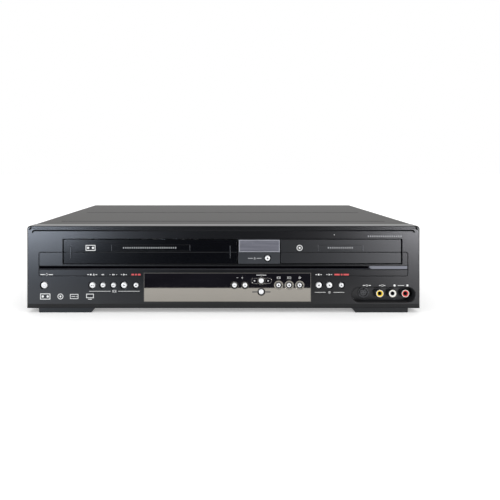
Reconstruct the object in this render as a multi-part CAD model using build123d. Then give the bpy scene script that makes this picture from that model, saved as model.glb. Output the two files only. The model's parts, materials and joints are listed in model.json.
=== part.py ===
"""Tape, disc and hard-disk recorder: a full-width hi-fi unit with a cassette flap on the left of its front,
a disc tray on the right, a mirrored display strip under them, and keys and camera sockets along the bottom.

Frame: millimetres, +X to the right seen from the front, +Y to the back, +Z up. The origin is the middle of
the base. "near" is a distance behind the front face. Each piece is written to parts/NODE.step.
"""

from build123d import *
import math
import os

# Overall casing
body_width = 435.0
body_depth = 340.0          # front face to the back of the rear panel
socket_reach = 8.5          # how far the aerial sockets stand out behind the rear panel
foot_height = 4.8
panel_height = 91.2         # the front panel, without the feet
panel_depth = 20.0
panel_wall = 3.0            # front wall of the moulding
panel_side_wall = 2.5
panel_corner = 3.5
panel_edge_round = 2.0
cover_sheet = 1.0
bead_places = (58.0, 189.0) # beads across the cover, behind the front face
cover_inset = 0.5           # the cover lies this far inside the front panel's outline
chassis_sheet = 1.2
joint_gap = 0.3             # seam between neighbouring casings
slide_gap = 0.3             # running clearance of sliding pieces
pin_gap = 0.1               # radial clearance of a pin or shaft in its hole

# The long bay in the front panel that holds flap, centre panel and tray. Flap and tray keep their widths,
# and the left margin, the centre panel and the right margin share what these leave of the body's width.
flap_width = 191.6
tray_front_width = 132.8
spare_shares = (39.6, 46.2, 19.5)
bay_bottom = 53.4
bay_height = 28.4
bay_throat = 10.0
throat_wall = 1.5
bay_plate_gap = 0.9         # shadow gap round the plates in the bay
flap_outer_gap = 1.2
flap_centre_gap = 1.5
tray_front_side_gap = 1.0
tray_front_outer_gap = 1.6
plate_recess = 0.3          # flap and tray stand this far behind the front face
boss_radius = 2.6           # bosses behind the front that carry its board
boss_level = 14.0

# Lines and strips on the front panel
belt_margin = 13.2          # from the panel's side to the engraved belt
belt_top = 67.2
belt_bottom = 40.2
belt_line = 0.8
belt_line_depth = 0.6
belt_corner = 2.4
label_line = 0.6
label_depth = 0.2
label_bottom = 68.1
label_top = 75.2
flap_label_inset = 52.8     # label frames, from the left ends of flap and tray front
flap_label_width = 86.8
tray_label_inset = 40.9
tray_label_width = 49.3
strip_bottom = 47.9
strip_height = 4.2
strip_thickness = 1.4
strip_channel_depth = 1.9
brow_line_width = 1.8
brow_line_depth = 1.8
brow_first_inset = 0.9
brow_second_inset = 4.1
bottom_bevel_height = 5.0
bottom_bevel_depth = 1.2

# Display window and keys. The tape keys are placed from the left side, the pocket from the right side, the
# disc keys from the pocket, and the window fills the width between both rows of keys.
power_key_inset = 19.2
tape_keys_inset = 72.5
pocket_inset = 75.3
record_pocket_gap = 11.55   # middle of the disc record key to the pocket
record_window_gap = 8.75    # middle of the tape record key to the window
window_stop_gap = 8.9       # window to the middle of the disc stop key
select_window_gap = 35.7    # middle of the first select key to the window's right end
copy_select_gap = 19.2
channel_copy_gap = 29.6
display_channel_gap = 8.3   # the display's opening ends this far before the first channel key
display_margin = 4.0        # the display's opening inside the window's outline
window_bottom = 12.1
window_height = 32.0
window_thickness = 1.5
key_row = 30.3              # height of the row of keys
key_pitch = 11.65
record_pitch = 13.3         # the record key stands a little further off
copy_rise = 5.0             # the copy key stands above the row, the output key below it
output_drop = 7.3
open_close_inset = 13.7     # middle of the open/close key from the centre panel's right edge
open_close_rise = 6.8       # and above the bay's lower edge
large_key = 6.4             # key diameters
small_key = 5.3
power_key = 6.9
copy_key = 5.8
output_key = 5.6
select_key = 4.7
select_ring = 5.1           # radius of the dish round a select key
channel_ring = 4.2
dish_rim = 0.15
key_ring = 1.2              # dark ring round each key
key_travel = 0.8
key_collar_lip = 0.9
key_collar_thickness = 1.2
key_stem_radius = 1.2
board_near = 17.5           # front circuit board, behind the front face
board_thickness = 1.6
board_low = 9.0
board_high = 45.0
switch_size = 6.0
switch_height = 3.1
plunger_height = 0.7
plunger_radius = 1.7
front_chip = 12.0
display_seat_near = 8.5
display_glass_near = 4.0

# Camera sockets in their pocket
pocket_width = 70.0
pocket_height = 16.4
pocket_bottom = 11.5
pocket_depth = 14.0
pocket_wall = 1.5
pocket_lip = 0.7
phono_radius = 4.1
phono_flange = 5.2
phono_insert_radius = 3.55
phono_bore = 1.65
phono_bore_depth = 8.5
phono_pitch = 14.3
phono_inset = 32.7          # first phono socket from the pocket's left end
phono_reach = 7.2           # out of the pocket's floor
phono_shoulder = 0.5        # the flange stands this far out of the pocket's floor
phono_rear_reach = 8.0      # out of the rear panel
s_video_inset = 15.8        # round video socket from the pocket's left end
s_video_radius = 5.9
s_video_reach = 1.0
s_video_depth = 3.4         # depth of its ring groove and pin holes

# Disc drive
tray_length = 165.0
tray_thickness = 4.5
tray_floor = 62.0           # underside of the tray
tray_travel = 130.0
tray_edge_inset = 2.4       # the tray is this much narrower than its front, on each side
tray_front_thickness = 3.0
tray_front_return = 6.0
disc_radius = 60.5
small_disc_radius = 40.8
disc_well_depth = 2.5
tray_slot_width = 38.0
tongue_width = 2.5
tongue_thickness = 2.0
gear_module = 1.0
gear_teeth = 18
gear_face = 3.0
gear_backlash = 0.3
pressure_angle = math.radians(20.0)
drive_base = 47.0
drive_wall = 2.0
drive_length = 170.0
drive_near = 20.0
drive_half_width = 72.0
drive_wall_top = 77.0       # also the top of the clamp's bridge
bridge_sheet = 2.0
guide_ledge = 2.0
traverse_half_width = 29.0
traverse_reach_front = 23.0 # the traverse reaches this far before and behind the spindle
traverse_reach_rear = 95.0
traverse_sheet = 2.0
traverse_pin_radius = 1.5
traverse_window_gap = 2.0
rod_radius = 1.5
rod_offset = 19.0
rod_rise = 5.0              # guide rods above the traverse's underside
turntable_level = 57.5      # underside of the turntable's hub
clamp_hole_radius = 10.0
gear_from_tray_front = 27.0
gear_post_radius = 2.0
gear_hub_radius = 4.5

# Cassette deck
cassette_width = 187.0
cassette_height = 25.0
flap_thickness = 2.4
flap_hinge_near = 1.7
flap_hinge_drop = 1.7       # hinge axis below the top of the bay
flap_pin_radius = 0.7
sensor_thickness = 0.8
basket_sheet = 1.0
basket_near = 29.5
basket_back_travel = 60.0
basket_drop = 22.0
basket_reel_hole = 17.0
carriage_sheet = 1.2
carriage_pin_radius = 2.0
carriage_slot_gap = 0.2
deck_level = 20.0
reel_spacing = 92.5
drum_radius = 31.0
drum_tilt = 5.9
drum_near = 231.25
drum_level = 39.0           # the plane between its fixed and its spinning half
capstan_near = 210.25
capstan_offset = 58.0       # from the cassette's middle
capstan_radius = 1.5
reel_post_radius = 1.5
guide_height = 30.0         # tape guides beside the drum
deck_half_width = 109.0
deck_end_near = 269.25
deck_flange = 4.0
deck_post_radius = 3.5
deck_post_inset = 12.0
deck_rear_post = 31.0       # rear posts, before the deck's back edge
basket_pin_level = 70.0
slider_pin_level = 76.0
slider_low = 44.0
slider_high = 79.0
slider_bar_rise = 4.0       # the slider's bar over the cassette
carriage_top = 84.0
carriage_length = 160.0

# Hard disk, fan and boards
disk_width = 101.6
disk_length = 147.0
disk_height = 26.1
disk_near = 77.0
disk_level = 11.0
fan_size = 50.0
fan_thickness = 15.0
fan_blades = 7
fan_hub_radius = 12.0
fan_pin_radius = 1.5
board_level = 14.0
board_post_radius = 3.0
main_board_width = 205.0
main_board_inset = 8.7      # from the chassis's side
main_board_rear_gap = 5.75  # from the back of the rear panel
disk_board_gap = 20.25
power_board_inset = 10.7
power_board_rear_gap = 3.75
deck_board_gap = 11.0
board_gap = 3.0             # between the two boards
heat_sink_size = 32.0
heat_sink_fin = 1.4
heat_sink_pitch = 3.5

# Rear sockets. They are placed from the two sides of the chassis, at these heights.
aerial_inset = 23.7
fan_inset = 63.7
scart_inset = 117.7
rear_phono_inset = 160.7
rear_phono_pitch = 15.0
hdmi_inset = 207.7
inlet_inset = 29.7
aerial_levels = (36.0, 58.0)
scart_levels = (32.0, 56.0)
rear_phono_levels = (28.0, 43.0, 58.0)
inlet_level = 28.0
hdmi_level = 22.0
fan_level = 62.0
scart_half_width = 25.0
scart_half_height = 8.0
inlet_half_width = 12.0
inlet_half_height = 8.0
rear_phono_collar = 5.0
aerial_radius = 4.75
aerial_collar = 5.4
tuner_half_width = 12.0
tuner_depth = 44.0
tuner_top = 70.0
hdmi_half_width = 7.5
hdmi_half_height = 3.0
cutout_gap = 0.1            # between a rear socket and its cut-out
cover_screw_inset = 22.0
cover_screw_drop = 7.0
screw_hole_radius = 1.7
rear_foot_inset = 52.5
rear_foot_distance = 38.0   # middle of a rear foot before the rear panel
skid_width = 61.1
skid_depth = 26.0
vent_inset = 65.7           # first air slot in back and base, from the chassis's side
side_vents = 22
side_vent_near = 150.0
side_vent_pitch = 6.0
rear_vents = 14
rear_vent_pitch = 7.0
base_vents = 16
base_vent_pitch = 8.0
base_vent_rows = (120.0, 180.0) # behind the front face

# Worked out from the sizes above
front_y = -(body_depth + socket_reach) / 2
rear_y = front_y + body_depth
panel_bottom = foot_height
panel_top = foot_height + panel_height
half_width = body_width / 2
belt_half_width = half_width - belt_margin
cover_half = half_width - cover_inset
cover_top = panel_top - 0.4
cover_front = front_y + panel_depth + joint_gap
chassis_half = cover_half - cover_sheet - joint_gap
chassis_bottom = foot_height
chassis_top = chassis_bottom + chassis_sheet
bay_top = bay_bottom + bay_height
plates_width = (
    flap_outer_gap + flap_width + flap_centre_gap + tray_front_side_gap + tray_front_width + tray_front_outer_gap
)
spare_width = body_width - plates_width
left_margin, centre_width, right_margin = (spare_width * share / sum(spare_shares) for share in spare_shares)
bay_left = -half_width + left_margin
bay_right = half_width - right_margin
flap_left = bay_left + flap_outer_gap
flap_right = flap_left + flap_width
centre_left = flap_right + flap_centre_gap
centre_right = centre_left + centre_width
plate_bottom = bay_bottom + bay_plate_gap
plate_top = bay_top - bay_plate_gap
flap_hinge_z = bay_top - flap_hinge_drop
tray_front_left = centre_right + tray_front_side_gap
tray_front_right = tray_front_left + tray_front_width
tray_x = (tray_front_left + tray_front_right) / 2
tray_start = front_y + plate_recess + tray_front_thickness
tray_width = tray_front_right - tray_front_left - 2 * tray_edge_inset
tray_surface = tray_floor + tray_thickness
traverse_level = drive_base + drive_wall
rod_level = traverse_level + rod_rise
hinge_near_spindle = traverse_reach_rear - 3.0
disc_y = tray_start + 71.0
cassette_x = (flap_left + flap_right) / 2
switch_near = board_near - switch_height - plunger_height
pocket_left = half_width - pocket_inset
pocket_right = pocket_left + pocket_width
pocket_top = pocket_bottom + pocket_height
socket_level = pocket_bottom + pocket_height / 2
phono_first_x = pocket_left + phono_inset
s_video_x = pocket_left + s_video_inset
tape_keys_x = -half_width + tape_keys_inset
tape_record_x = tape_keys_x + 3 * key_pitch + record_pitch
disc_record_x = pocket_left - record_pocket_gap
disc_keys_x = disc_record_x - record_pitch - key_pitch
window_left = tape_record_x + record_window_gap
window_right = disc_keys_x - window_stop_gap
window_top = window_bottom + window_height
select_keys_x = window_right - select_window_gap
copy_x = select_keys_x - copy_select_gap
channel_keys_x = copy_x - channel_copy_gap
display_left = window_left + display_margin
display_right = channel_keys_x - display_channel_gap
deck_left = cassette_x - deck_half_width
deck_right = cassette_x + deck_half_width
deck_front = front_y + basket_near + 1.0
deck_rear = front_y + deck_end_near
deck_top = deck_level + chassis_sheet
disk_y = front_y + disk_near
board_top = board_level + board_thickness
main_right = chassis_half - main_board_inset
main_left = main_right - main_board_width
main_front = disk_y + disk_length + disk_board_gap
main_rear = rear_y - main_board_rear_gap
power_left = -chassis_half + power_board_inset
power_right = main_left - board_gap
power_front = deck_rear + deck_board_gap
power_rear = rear_y - power_board_rear_gap
vent_first = -chassis_half + vent_inset


def block(x0, x1, y0, y1, z0, z1):
    """A box between two corners."""
    return Pos((x0 + x1) / 2, (y0 + y1) / 2, (z0 + z1) / 2) * Box(x1 - x0, y1 - y0, z1 - z0)


def span(x0, x1, z0, z1, corner=0.0):
    """A rectangle between two corners, with round corners where a radius is given."""
    shape = RectangleRounded(x1 - x0, z1 - z0, corner) if corner else Rectangle(x1 - x0, z1 - z0)
    return Pos((x0 + x1) / 2, (z0 + z1) / 2) * shape


def from_front(outline, near, far):
    """A front view outline, in X and Z, extruded from one distance behind the front face to another."""
    plane = Plane(origin=(0, front_y + near, 0), x_dir=(1, 0, 0), z_dir=(0, -1, 0))
    return extrude(plane * outline, amount=-(far - near))


def from_side(outline, x0, x1):
    """A side view outline, in Y and Z, extruded along X."""
    plane = Plane(origin=(x0, 0, 0), x_dir=(0, 1, 0), z_dir=(1, 0, 0))
    return extrude(plane * outline, amount=x1 - x0)


def from_top(outline, z0, z1):
    """A plan outline, in X and Y, extruded upwards."""
    return extrude(Plane.XY.offset(z0) * outline, amount=z1 - z0)


def side_polygon(*points):
    """A closed side view polygon whose points are (distance behind the front face, height)."""
    return make_face(Polyline([(front_y + near, z) for near, z in points], close=True))


def rod_x(y, z, radius, x0, x1):
    return Pos((x0 + x1) / 2, y, z) * Rot(0, 90, 0) * Cylinder(radius, x1 - x0)


def rod_y(x, z, radius, y0, y1):
    return Pos(x, (y0 + y1) / 2, z) * Rot(90, 0, 0) * Cylinder(radius, y1 - y0)


def rod_z(x, y, radius, z0, z1):
    return Pos(x, y, (z0 + z1) / 2) * Cylinder(radius, z1 - z0)


def turned(points, x, y, z, direction=(0, 0, 1)):
    """A solid of revolution from (radius, height) points about an axis through (x, y, z)."""
    outline = make_face(Polyline([(r, 0, h) for r, h in points], close=True))
    solid = revolve(outline, Axis.Z)
    return Plane(origin=(x, y, z), z_dir=direction) * solid


# Keys: name -> (x, z, diameter). Rows and groups follow their own pitch.
def key_places():
    """Where each key stands on the front, and how wide it is."""
    keys = {"power_button": (-half_width + power_key_inset, key_row, power_key)}
    tape = ["stop_eject_button", "rewind_button", "fast_forward_button", "play_tape_button"]
    for step, name in enumerate(tape):
        keys[name] = (tape_keys_x + step * key_pitch, key_row, large_key if step in (0, 3) else small_key)
    keys["record_tape_button"] = (tape_record_x, key_row, small_key)
    keys["channel_down_button"] = (channel_keys_x, key_row, small_key)
    keys["channel_up_button"] = (channel_keys_x + key_pitch, key_row, small_key)
    keys["copy_button"] = (copy_x, key_row + copy_rise, copy_key)
    keys["output_button"] = (copy_x, key_row - output_drop, output_key)
    for step, name in enumerate(["select_tape_button", "select_hard_disk_button", "select_disc_button"]):
        keys[name] = (select_keys_x + step * key_pitch, key_row, select_key)
    keys["stop_disc_button"] = (disc_keys_x, key_row, large_key)
    keys["play_disc_button"] = (disc_keys_x + key_pitch, key_row, large_key)
    keys["record_disc_button"] = (disc_record_x, key_row, small_key)
    keys["open_close_button"] = (centre_right - open_close_inset, bay_bottom + open_close_rise, copy_key)
    return keys


KEYS = key_places()
WINDOW_KEYS = {
    name: place
    for name, place in KEYS.items()
    if window_left < place[0] < window_right and place[1] < window_top
}


def key_hole(diameter):
    """Radius of the hole round a key."""
    return diameter / 2 + key_ring


def belt_outline(line_width):
    """The engraved line that frames the belt, as a thin ring in the front view."""
    outer = span(-belt_half_width, belt_half_width, belt_bottom, belt_top, belt_corner)
    inner = span(
        -belt_half_width + line_width, belt_half_width - line_width,
        belt_bottom + line_width, belt_top - line_width, belt_corner - line_width,
    )
    return outer - inner


def label_frame(x0, width):
    """A fine engraved frame for a label, as a thin ring in the front view."""
    x1 = x0 + width
    inner = span(x0 + label_line, x1 - label_line, label_bottom + label_line, label_top - label_line)
    return span(x0, x1, label_bottom, label_top) - inner


def brow_line(inset, keep):
    """One dark line under the brow: it follows the panel's top corners and ends just round them."""
    edge = half_width - 1.6 - inset
    top = panel_top - inset
    outer = span(-edge, edge, panel_bottom, top, panel_corner)
    inner = span(
        -edge + brow_line_width, edge - brow_line_width,
        panel_bottom, top - brow_line_width, panel_corner - brow_line_width,
    )
    return (outer - inner) & span(-half_width, half_width, top - keep, panel_top)


def is_pocket_rim(edge):
    """Whether an edge lies in the front face, within the socket pocket's outline."""
    box = edge.bounding_box()
    near = 0.01
    flat = box.max.Y < front_y + near
    inside = box.min.X > pocket_left - near and box.max.X < pocket_right + near
    return flat and inside and box.min.Z > pocket_bottom - near and box.max.Z < pocket_top + near


def stadium(x0, x1, z0, z1):
    return span(x0, x1, z0, z1, (z1 - z0) / 2 - 0.001)


# Casing

def front_panel():
    """The moulded front: a shell with a long bay, a window recess, key holes and a socket pocket."""
    outline = Pos(0, (panel_bottom + panel_top) / 2) * Rectangle(body_width, panel_height)
    corners = outline.vertices().sort_by(Axis.Y)
    outline = fillet(corners[2:], panel_corner)
    body = from_front(outline, 0, panel_depth)
    face_edges = body.faces().sort_by(Axis.Y)[0].edges().sort_by(Axis.Z)
    body = fillet(face_edges[1:], panel_edge_round)
    bevel = side_polygon(
        (-1, panel_bottom - 1), (-1, panel_bottom + bottom_bevel_height), (0, panel_bottom + bottom_bevel_height),
        (bottom_bevel_depth, panel_bottom), (bottom_bevel_depth, panel_bottom - 1),
    )
    body -= from_side(bevel, -half_width - 1, half_width + 1)
    inner = span(
        -half_width + panel_side_wall, half_width - panel_side_wall,
        panel_bottom + panel_side_wall, panel_top - panel_side_wall,
    )
    body -= from_front(inner, panel_wall, panel_depth + 1)

    bay = span(bay_left, bay_right, bay_bottom, bay_top)
    throat = span(
        bay_left - throat_wall, bay_right + throat_wall, bay_bottom - throat_wall, bay_top + throat_wall
    )
    body += from_front(throat, panel_wall, panel_wall + bay_throat)
    body -= from_front(bay, -1, panel_depth)
    body -= rod_x(front_y + flap_hinge_near, flap_hinge_z, flap_pin_radius + pin_gap, bay_left - 2.6, bay_left)

    ribs = 6
    for step in range(ribs):
        x = bay_left + (step + 0.5) * (bay_right - bay_left) / ribs
        body += from_front(
            span(x - 0.6, x + 0.6, bay_top + throat_wall, panel_top - panel_side_wall),
            panel_wall, panel_wall + bay_throat,
        )
    for x in (-half_width + 47.5, window_left - 7.0, display_right + 4.0, window_right + 3.2):
        body += rod_y(x, boss_level, boss_radius, front_y + panel_wall, front_y + board_near)

    cup = stadium(
        pocket_left - pocket_wall, pocket_right + pocket_wall, pocket_bottom - pocket_wall, pocket_top + pocket_wall
    )
    body += from_front(cup, panel_wall, pocket_depth + pocket_wall)
    pocket = stadium(pocket_left, pocket_right, pocket_bottom, pocket_top)
    body -= from_front(pocket, -1, pocket_depth)
    body = chamfer(body.edges().filter_by(is_pocket_rim), pocket_lip)
    for x, z in phono_places():
        body -= rod_y(x, z, phono_flange + pin_gap, front_y + pocket_depth - 1, front_y + panel_depth)
    body -= rod_y(
        s_video_x, socket_level, s_video_radius + pin_gap, front_y + pocket_depth - 1, front_y + panel_depth
    )

    body -= from_front(belt_outline(belt_line), -1, belt_line_depth)
    for inset in (brow_first_inset, brow_second_inset):
        body -= from_front(brow_line(inset, panel_corner), -1, brow_line_depth)

    strip_top = strip_bottom + strip_height
    channel = side_polygon(
        (-1, strip_bottom - 1.7), (0, strip_bottom - 0.7), (0.7, strip_bottom),
        (strip_channel_depth, strip_bottom), (strip_channel_depth, strip_top), (-1, strip_top),
    )
    strip_half = belt_half_width - belt_line
    body -= from_side(channel, -strip_half, strip_half)

    body -= from_front(window_outline(), -1, window_thickness)
    body -= from_front(display_aperture(), -1, panel_depth)
    for name, (x, z, diameter) in KEYS.items():
        if name != "open_close_button":
            body -= rod_y(x, z, key_hole(diameter), front_y - 1, front_y + panel_wall + 1)
    return body


def window_outline():
    return span(window_left, window_right, window_bottom, window_top)


def display_aperture():
    """The opening behind the window that the display looks through."""
    return span(display_left, display_right, window_bottom + display_margin, window_top - display_margin)


def display_window():
    """A half-mirrored plate let into the panel, dished round the keys that pass through it."""
    plate = from_front(window_outline(), 0, window_thickness)
    for name, (x, z, diameter) in WINDOW_KEYS.items():
        hole = key_hole(diameter)
        plate -= rod_y(x, z, hole, front_y - 1, front_y + window_thickness + 1)
        ring = {"select": select_ring, "channel": channel_ring}.get(name.split("_")[0], hole + 0.4)
        dish = turned(
            [
                (0, -0.01), (ring, -0.01), (ring, dish_rim),
                (hole - 0.3, window_thickness - 0.3), (0, window_thickness),
            ],
            x, front_y, z, (0, 1, 0),
        )
        plate -= dish
    return plate


def trim_strip():
    """The gloss strip that lies at the bottom of the channel."""
    half = belt_half_width - belt_line
    near = strip_channel_depth - strip_thickness
    strip = from_front(
        span(-half + 0.1, half - 0.1, strip_bottom + 0.1, strip_bottom + strip_height - 0.1),
        near, strip_channel_depth,
    )
    return fillet(strip.faces().sort_by(Axis.Y)[0].edges().filter_by(Axis.X), 0.4)


def centre_panel():
    """The fixed piece between flap and tray, with the sensor window's recess and the open/close key's hole."""
    plate = from_front(span(centre_left, centre_right, plate_bottom, bay_top - 0.4), 0, panel_wall)
    frame = span(centre_left, centre_right, bay_bottom, bay_top)
    hollow = span(
        centre_left + throat_wall, centre_right - throat_wall, bay_bottom + throat_wall, bay_top - throat_wall
    )
    plate += from_front(frame - hollow, panel_wall, panel_wall + bay_throat - 0.5)
    plate -= from_front(sensor_outline(0.1), -1, sensor_thickness + 0.1)
    x, z, diameter = KEYS["open_close_button"]
    plate -= rod_y(x, z, key_hole(diameter), front_y - 1, front_y + panel_wall + 1)
    plate -= rod_x(
        front_y + flap_hinge_near, flap_hinge_z, flap_pin_radius + pin_gap, centre_left - 1, centre_left + 2.4
    )
    return plate


def sensor_outline(margin):
    return span(centre_left + 0.9 - margin, centre_right - 0.5 + margin, belt_top - margin, plate_top - 0.4 + margin)


def sensor_window():
    """The smoked plate that the remote control's sensor looks through, with a bevelled rim."""
    plate = from_front(sensor_outline(0), 0.1, sensor_thickness + 0.1)
    return chamfer(plate.faces().sort_by(Axis.Y)[0].edges(), 0.5)


def top_cover():
    """The folded steel cover: top, both sides and a lip over the rear panel, with two long beads across the top."""
    outer = span(-cover_half, cover_half, chassis_bottom + 0.6, cover_top)
    outer = fillet(outer.vertices().group_by(Axis.Y)[-1], 2.6)
    inner_half = cover_half - cover_sheet
    inner = span(-inner_half, inner_half, chassis_bottom - 1, cover_top - cover_sheet)
    inner = fillet(inner.vertices().group_by(Axis.Y)[-1], 1.6)
    near = panel_depth + joint_gap
    cover = from_front(outer - inner, near, body_depth)
    lip_top = cover_top - 0.5
    cover += block(-cover_half + 2.6, cover_half - 2.6, rear_y, rear_y + cover_sheet, cover_top - 11, lip_top)
    cover += block(-cover_half + 2.6, cover_half - 2.6, rear_y - 0.5, rear_y + cover_sheet,
                   cover_top - cover_sheet, lip_top)

    bead_length = 2 * cover_half - 44.0
    bead_width = 3.2
    bead_depth = 0.8
    for bead_near in bead_places:
        y = front_y + bead_near
        under = Pos(0, y) * SlotOverall(bead_length + 2 * cover_sheet, bead_width + 2 * cover_sheet)
        cover += from_top(under, cover_top - cover_sheet - bead_depth, cover_top - cover_sheet / 2)
        dent = Pos(0, y) * SlotOverall(bead_length, bead_width)
        cover -= from_top(dent, cover_top - bead_depth, cover_top + 1)

    for step in range(side_vents):
        y = front_y + side_vent_near + step * side_vent_pitch
        opening = from_side(Pos(y, 68) * SlotOverall(26, 2.6, rotation=90), -half_width, half_width)
        cover -= opening
    for x, z in cover_screw_places():
        cover -= rod_y(x, z, screw_hole_radius, rear_y - 1, rear_y + 3)
    return cover


def cover_screw_places():
    edge = cover_half - cover_screw_inset
    return [(x, cover_top - cover_screw_drop) for x in (-edge, 0.0, edge)]


def bottom_chassis():
    """The pressed steel base with its flanges, air slots and the pillars that carry drive, deck, disk and boards."""
    y0 = cover_front
    y1 = rear_y - cover_sheet
    base = block(-chassis_half, chassis_half, y0, y1, chassis_bottom, chassis_top)
    flange = 14.0
    for side in (-1, 1):
        x0, x1 = sorted((side * chassis_half, side * (chassis_half - chassis_sheet)))
        base += block(x0, x1, y0, y1, chassis_bottom, chassis_bottom + flange)
    base += block(-chassis_half, chassis_half, y0, y0 + chassis_sheet, chassis_bottom, chassis_bottom + 6)
    for near in base_vent_rows:
        for step in range(base_vents):
            slot = Pos(vent_first + step * base_vent_pitch, front_y + near) * SlotOverall(40, 3.0, rotation=90)
            base -= from_top(slot, chassis_bottom - 1, chassis_top + 1)
    for x, y, radius, top in pillar_places():
        base += rod_z(x, y, radius, chassis_top - 0.2, top)
    return base


def pillar_places():
    """Pillars on the base as (x, y, radius, top)."""
    drive = [
        (x, front_y + near, 3.5, drive_base)
        for x in (tray_x - drive_half_width + 6, tray_x + drive_half_width - 6)
        for near in (drive_near + 6, drive_near + drive_length - 8)
    ]
    deck = [
        (x, y, deck_post_radius, deck_level)
        for x in (deck_left + deck_post_inset, deck_right - deck_post_inset)
        for y in (deck_front + 7.5, deck_rear - deck_rear_post)
    ]
    disk_x = tray_x - disk_width / 2
    disk = [
        (disk_x + 6 + i * (disk_width - 12), disk_y + 20 + j * (disk_length - 44), board_post_radius, disk_level)
        for i in (0, 1) for j in (0, 1)
    ]
    main = [
        (x, y, board_post_radius, board_level)
        for x in (main_left + 30, main_right - 7) for y in (main_front + 6, main_rear - 10)
    ]
    power = [
        (x, y, board_post_radius, board_level)
        for x in (power_left + 7, power_right - 3) for y in (power_front + 6, power_rear - 6)
    ]
    return drive + deck + disk + main + power


def rear_panel():
    """The steel back, with a cut-out for each socket and the fan's grille."""
    y0 = rear_y - cover_sheet
    half = chassis_half
    outline = span(-half, half, chassis_bottom, cover_top - cover_sheet - joint_gap)
    outline = fillet(outline.vertices().group_by(Axis.Y)[-1], 1.6)
    panel = from_front(outline, body_depth - cover_sheet, body_depth)
    for x, z in scart_places():
        panel -= cutout(x, z, scart_half_width, scart_half_height)
    for x, z in rear_phono_places():
        panel -= rod_y(x, z, rear_phono_collar + cutout_gap, y0 - 1, rear_y + 1)
    panel -= cutout(*inlet_place(), inlet_half_width, inlet_half_height)
    for x, z in aerial_places():
        panel -= rod_y(x, z, aerial_collar + cutout_gap, y0 - 1, rear_y + 1)
    panel -= cutout(*hdmi_place(), hdmi_half_width, hdmi_half_height)
    grille = Sketch()
    fan_x, fan_z = fan_place()
    for step in range(-3, 4):
        grille += Pos(fan_x + step * 6.2, fan_z) * Rectangle(3.4, fan_size)
    grille &= Pos(fan_x, fan_z) * Circle(fan_size / 2 - 3)
    panel -= from_front(grille, body_depth - cover_sheet - 1, body_depth + 1)
    for step in range(rear_vents):
        x = vent_first + step * rear_vent_pitch
        panel -= from_front(Pos(x, 60) * SlotOverall(30, 3, rotation=90), body_depth - 3, body_depth + 1)
    for x, z in cover_screw_places():
        panel -= rod_y(x, z, screw_hole_radius, y0 - 1, rear_y + 1)
    return panel


def cutout(x, z, half_wide, half_high):
    """The square hole in the rear panel for a socket."""
    wide = half_wide + cutout_gap
    high = half_high + cutout_gap
    return block(x - wide, x + wide, rear_y - cover_sheet - 1, rear_y + 1, z - high, z + high)


def feet():
    """Two wide moulded skids under the front corners and two round rubber feet at the back."""
    outer = belt_half_width
    inner = outer - skid_width
    slant = 3.0
    skid_near = bottom_bevel_depth
    skid = make_face(Polyline([
        (inner + slant, 0), (outer, 0), (outer, foot_height), (inner, foot_height)], close=True))
    skid = fillet(skid.vertices().group_by(Axis.Y)[0], 0.8)
    right = from_front(skid, skid_near, skid_near + skid_depth)
    pads = []
    for side in (-1, 1):
        pad = turned(
            [(0, 0), (10.5, 0), (11.5, 1), (12.5, foot_height), (0, foot_height)],
            side * (half_width - rear_foot_inset), rear_y - rear_foot_distance, 0,
        )
        pads.append(pad)
    return Compound([right, mirror(right, Plane.YZ), *pads])


def screws():
    """Cross-head screws that hold the cover's rear lip and the rear panel."""
    made = []
    for x, z in cover_screw_places():
        screw = turned(
            [(0, 1.9), (1.6, 1.8), (2.6, 1.2), (3.0, 0.05), (3.0, 0), (1.5, 0), (1.5, -5), (0, -5)],
            x, rear_y + cover_sheet, z, (0, 1, 0),
        )
        for turn in (0, 90):
            screw -= Pos(x, rear_y + cover_sheet + 1.7, z) * Rot(0, turn, 0) * Box(2.8, 1.4, 0.6)
        made.append(screw)
    return Compound(made)


# Keys and the board behind them

def key(x, z, diameter):
    """A round key: domed cap, collar behind the panel and a stem to its switch."""
    radius = diameter / 2
    collar = key_hole(diameter) + key_collar_lip
    collar_near = panel_wall + slide_gap
    stem_end = switch_near - key_travel - 0.1
    return turned(
        [
            (0, 0.1), (radius * 0.55, 0.15), (radius * 0.85, 0.4), (radius, 0.9),
            (radius, collar_near), (collar, collar_near), (collar, collar_near + key_collar_thickness),
            (key_stem_radius, collar_near + key_collar_thickness), (key_stem_radius, stem_end), (0, stem_end),
        ],
        x, front_y, z, (0, 1, 0),
    )


def front_board():
    """The circuit board behind the front, with a switch for each key and a tab up to the open/close key."""
    edge = half_width - panel_side_wall - 2
    outline = span(-edge, edge, board_low, board_high)
    tab_right = KEYS["open_close_button"][0] + switch_size / 2 + 1
    outline += span(centre_left + 2, tab_right, board_high - 1, bay_top - 8)
    board = from_front(outline, board_near, board_near + board_thickness)
    for x, z, _ in KEYS.values():
        half = switch_size / 2
        board += from_front(span(x - half, x + half, z - half, z + half), board_near - switch_height, board_near)
        board += rod_y(x, z, plunger_radius, front_y + switch_near, front_y + board_near - switch_height)
    back = board_near + board_thickness
    chips = 5
    first_chip = window_left + 18
    chip_pitch = (window_right - 18 - front_chip - first_chip) / (chips - 1)
    for step in range(chips):
        x = first_chip + step * chip_pitch
        board += from_front(span(x, x + front_chip, 20, 20 + front_chip), back, back + 2)
    sensor_x = centre_left + 12
    board += from_front(
        span(sensor_x - 4, sensor_x + 4, belt_top - 1, belt_top + 6), board_near - 5, board_near
    )
    return board


def display_module():
    """The fluorescent display: a flat glass tube on a plastic seat in front of the board."""
    low = window_bottom + 5.4
    high = window_top - 3.6
    seat = from_front(span(display_left + 2, display_right - 2, low, high), display_seat_near, board_near)
    tube = span(display_left + 4, display_right - 4, low + 1.5, high - 1.5, 1.0)
    return seat + from_front(tube, display_glass_near, display_seat_near)


def phono_places():
    return [(phono_first_x + step * phono_pitch, socket_level) for step in range(3)]


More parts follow.
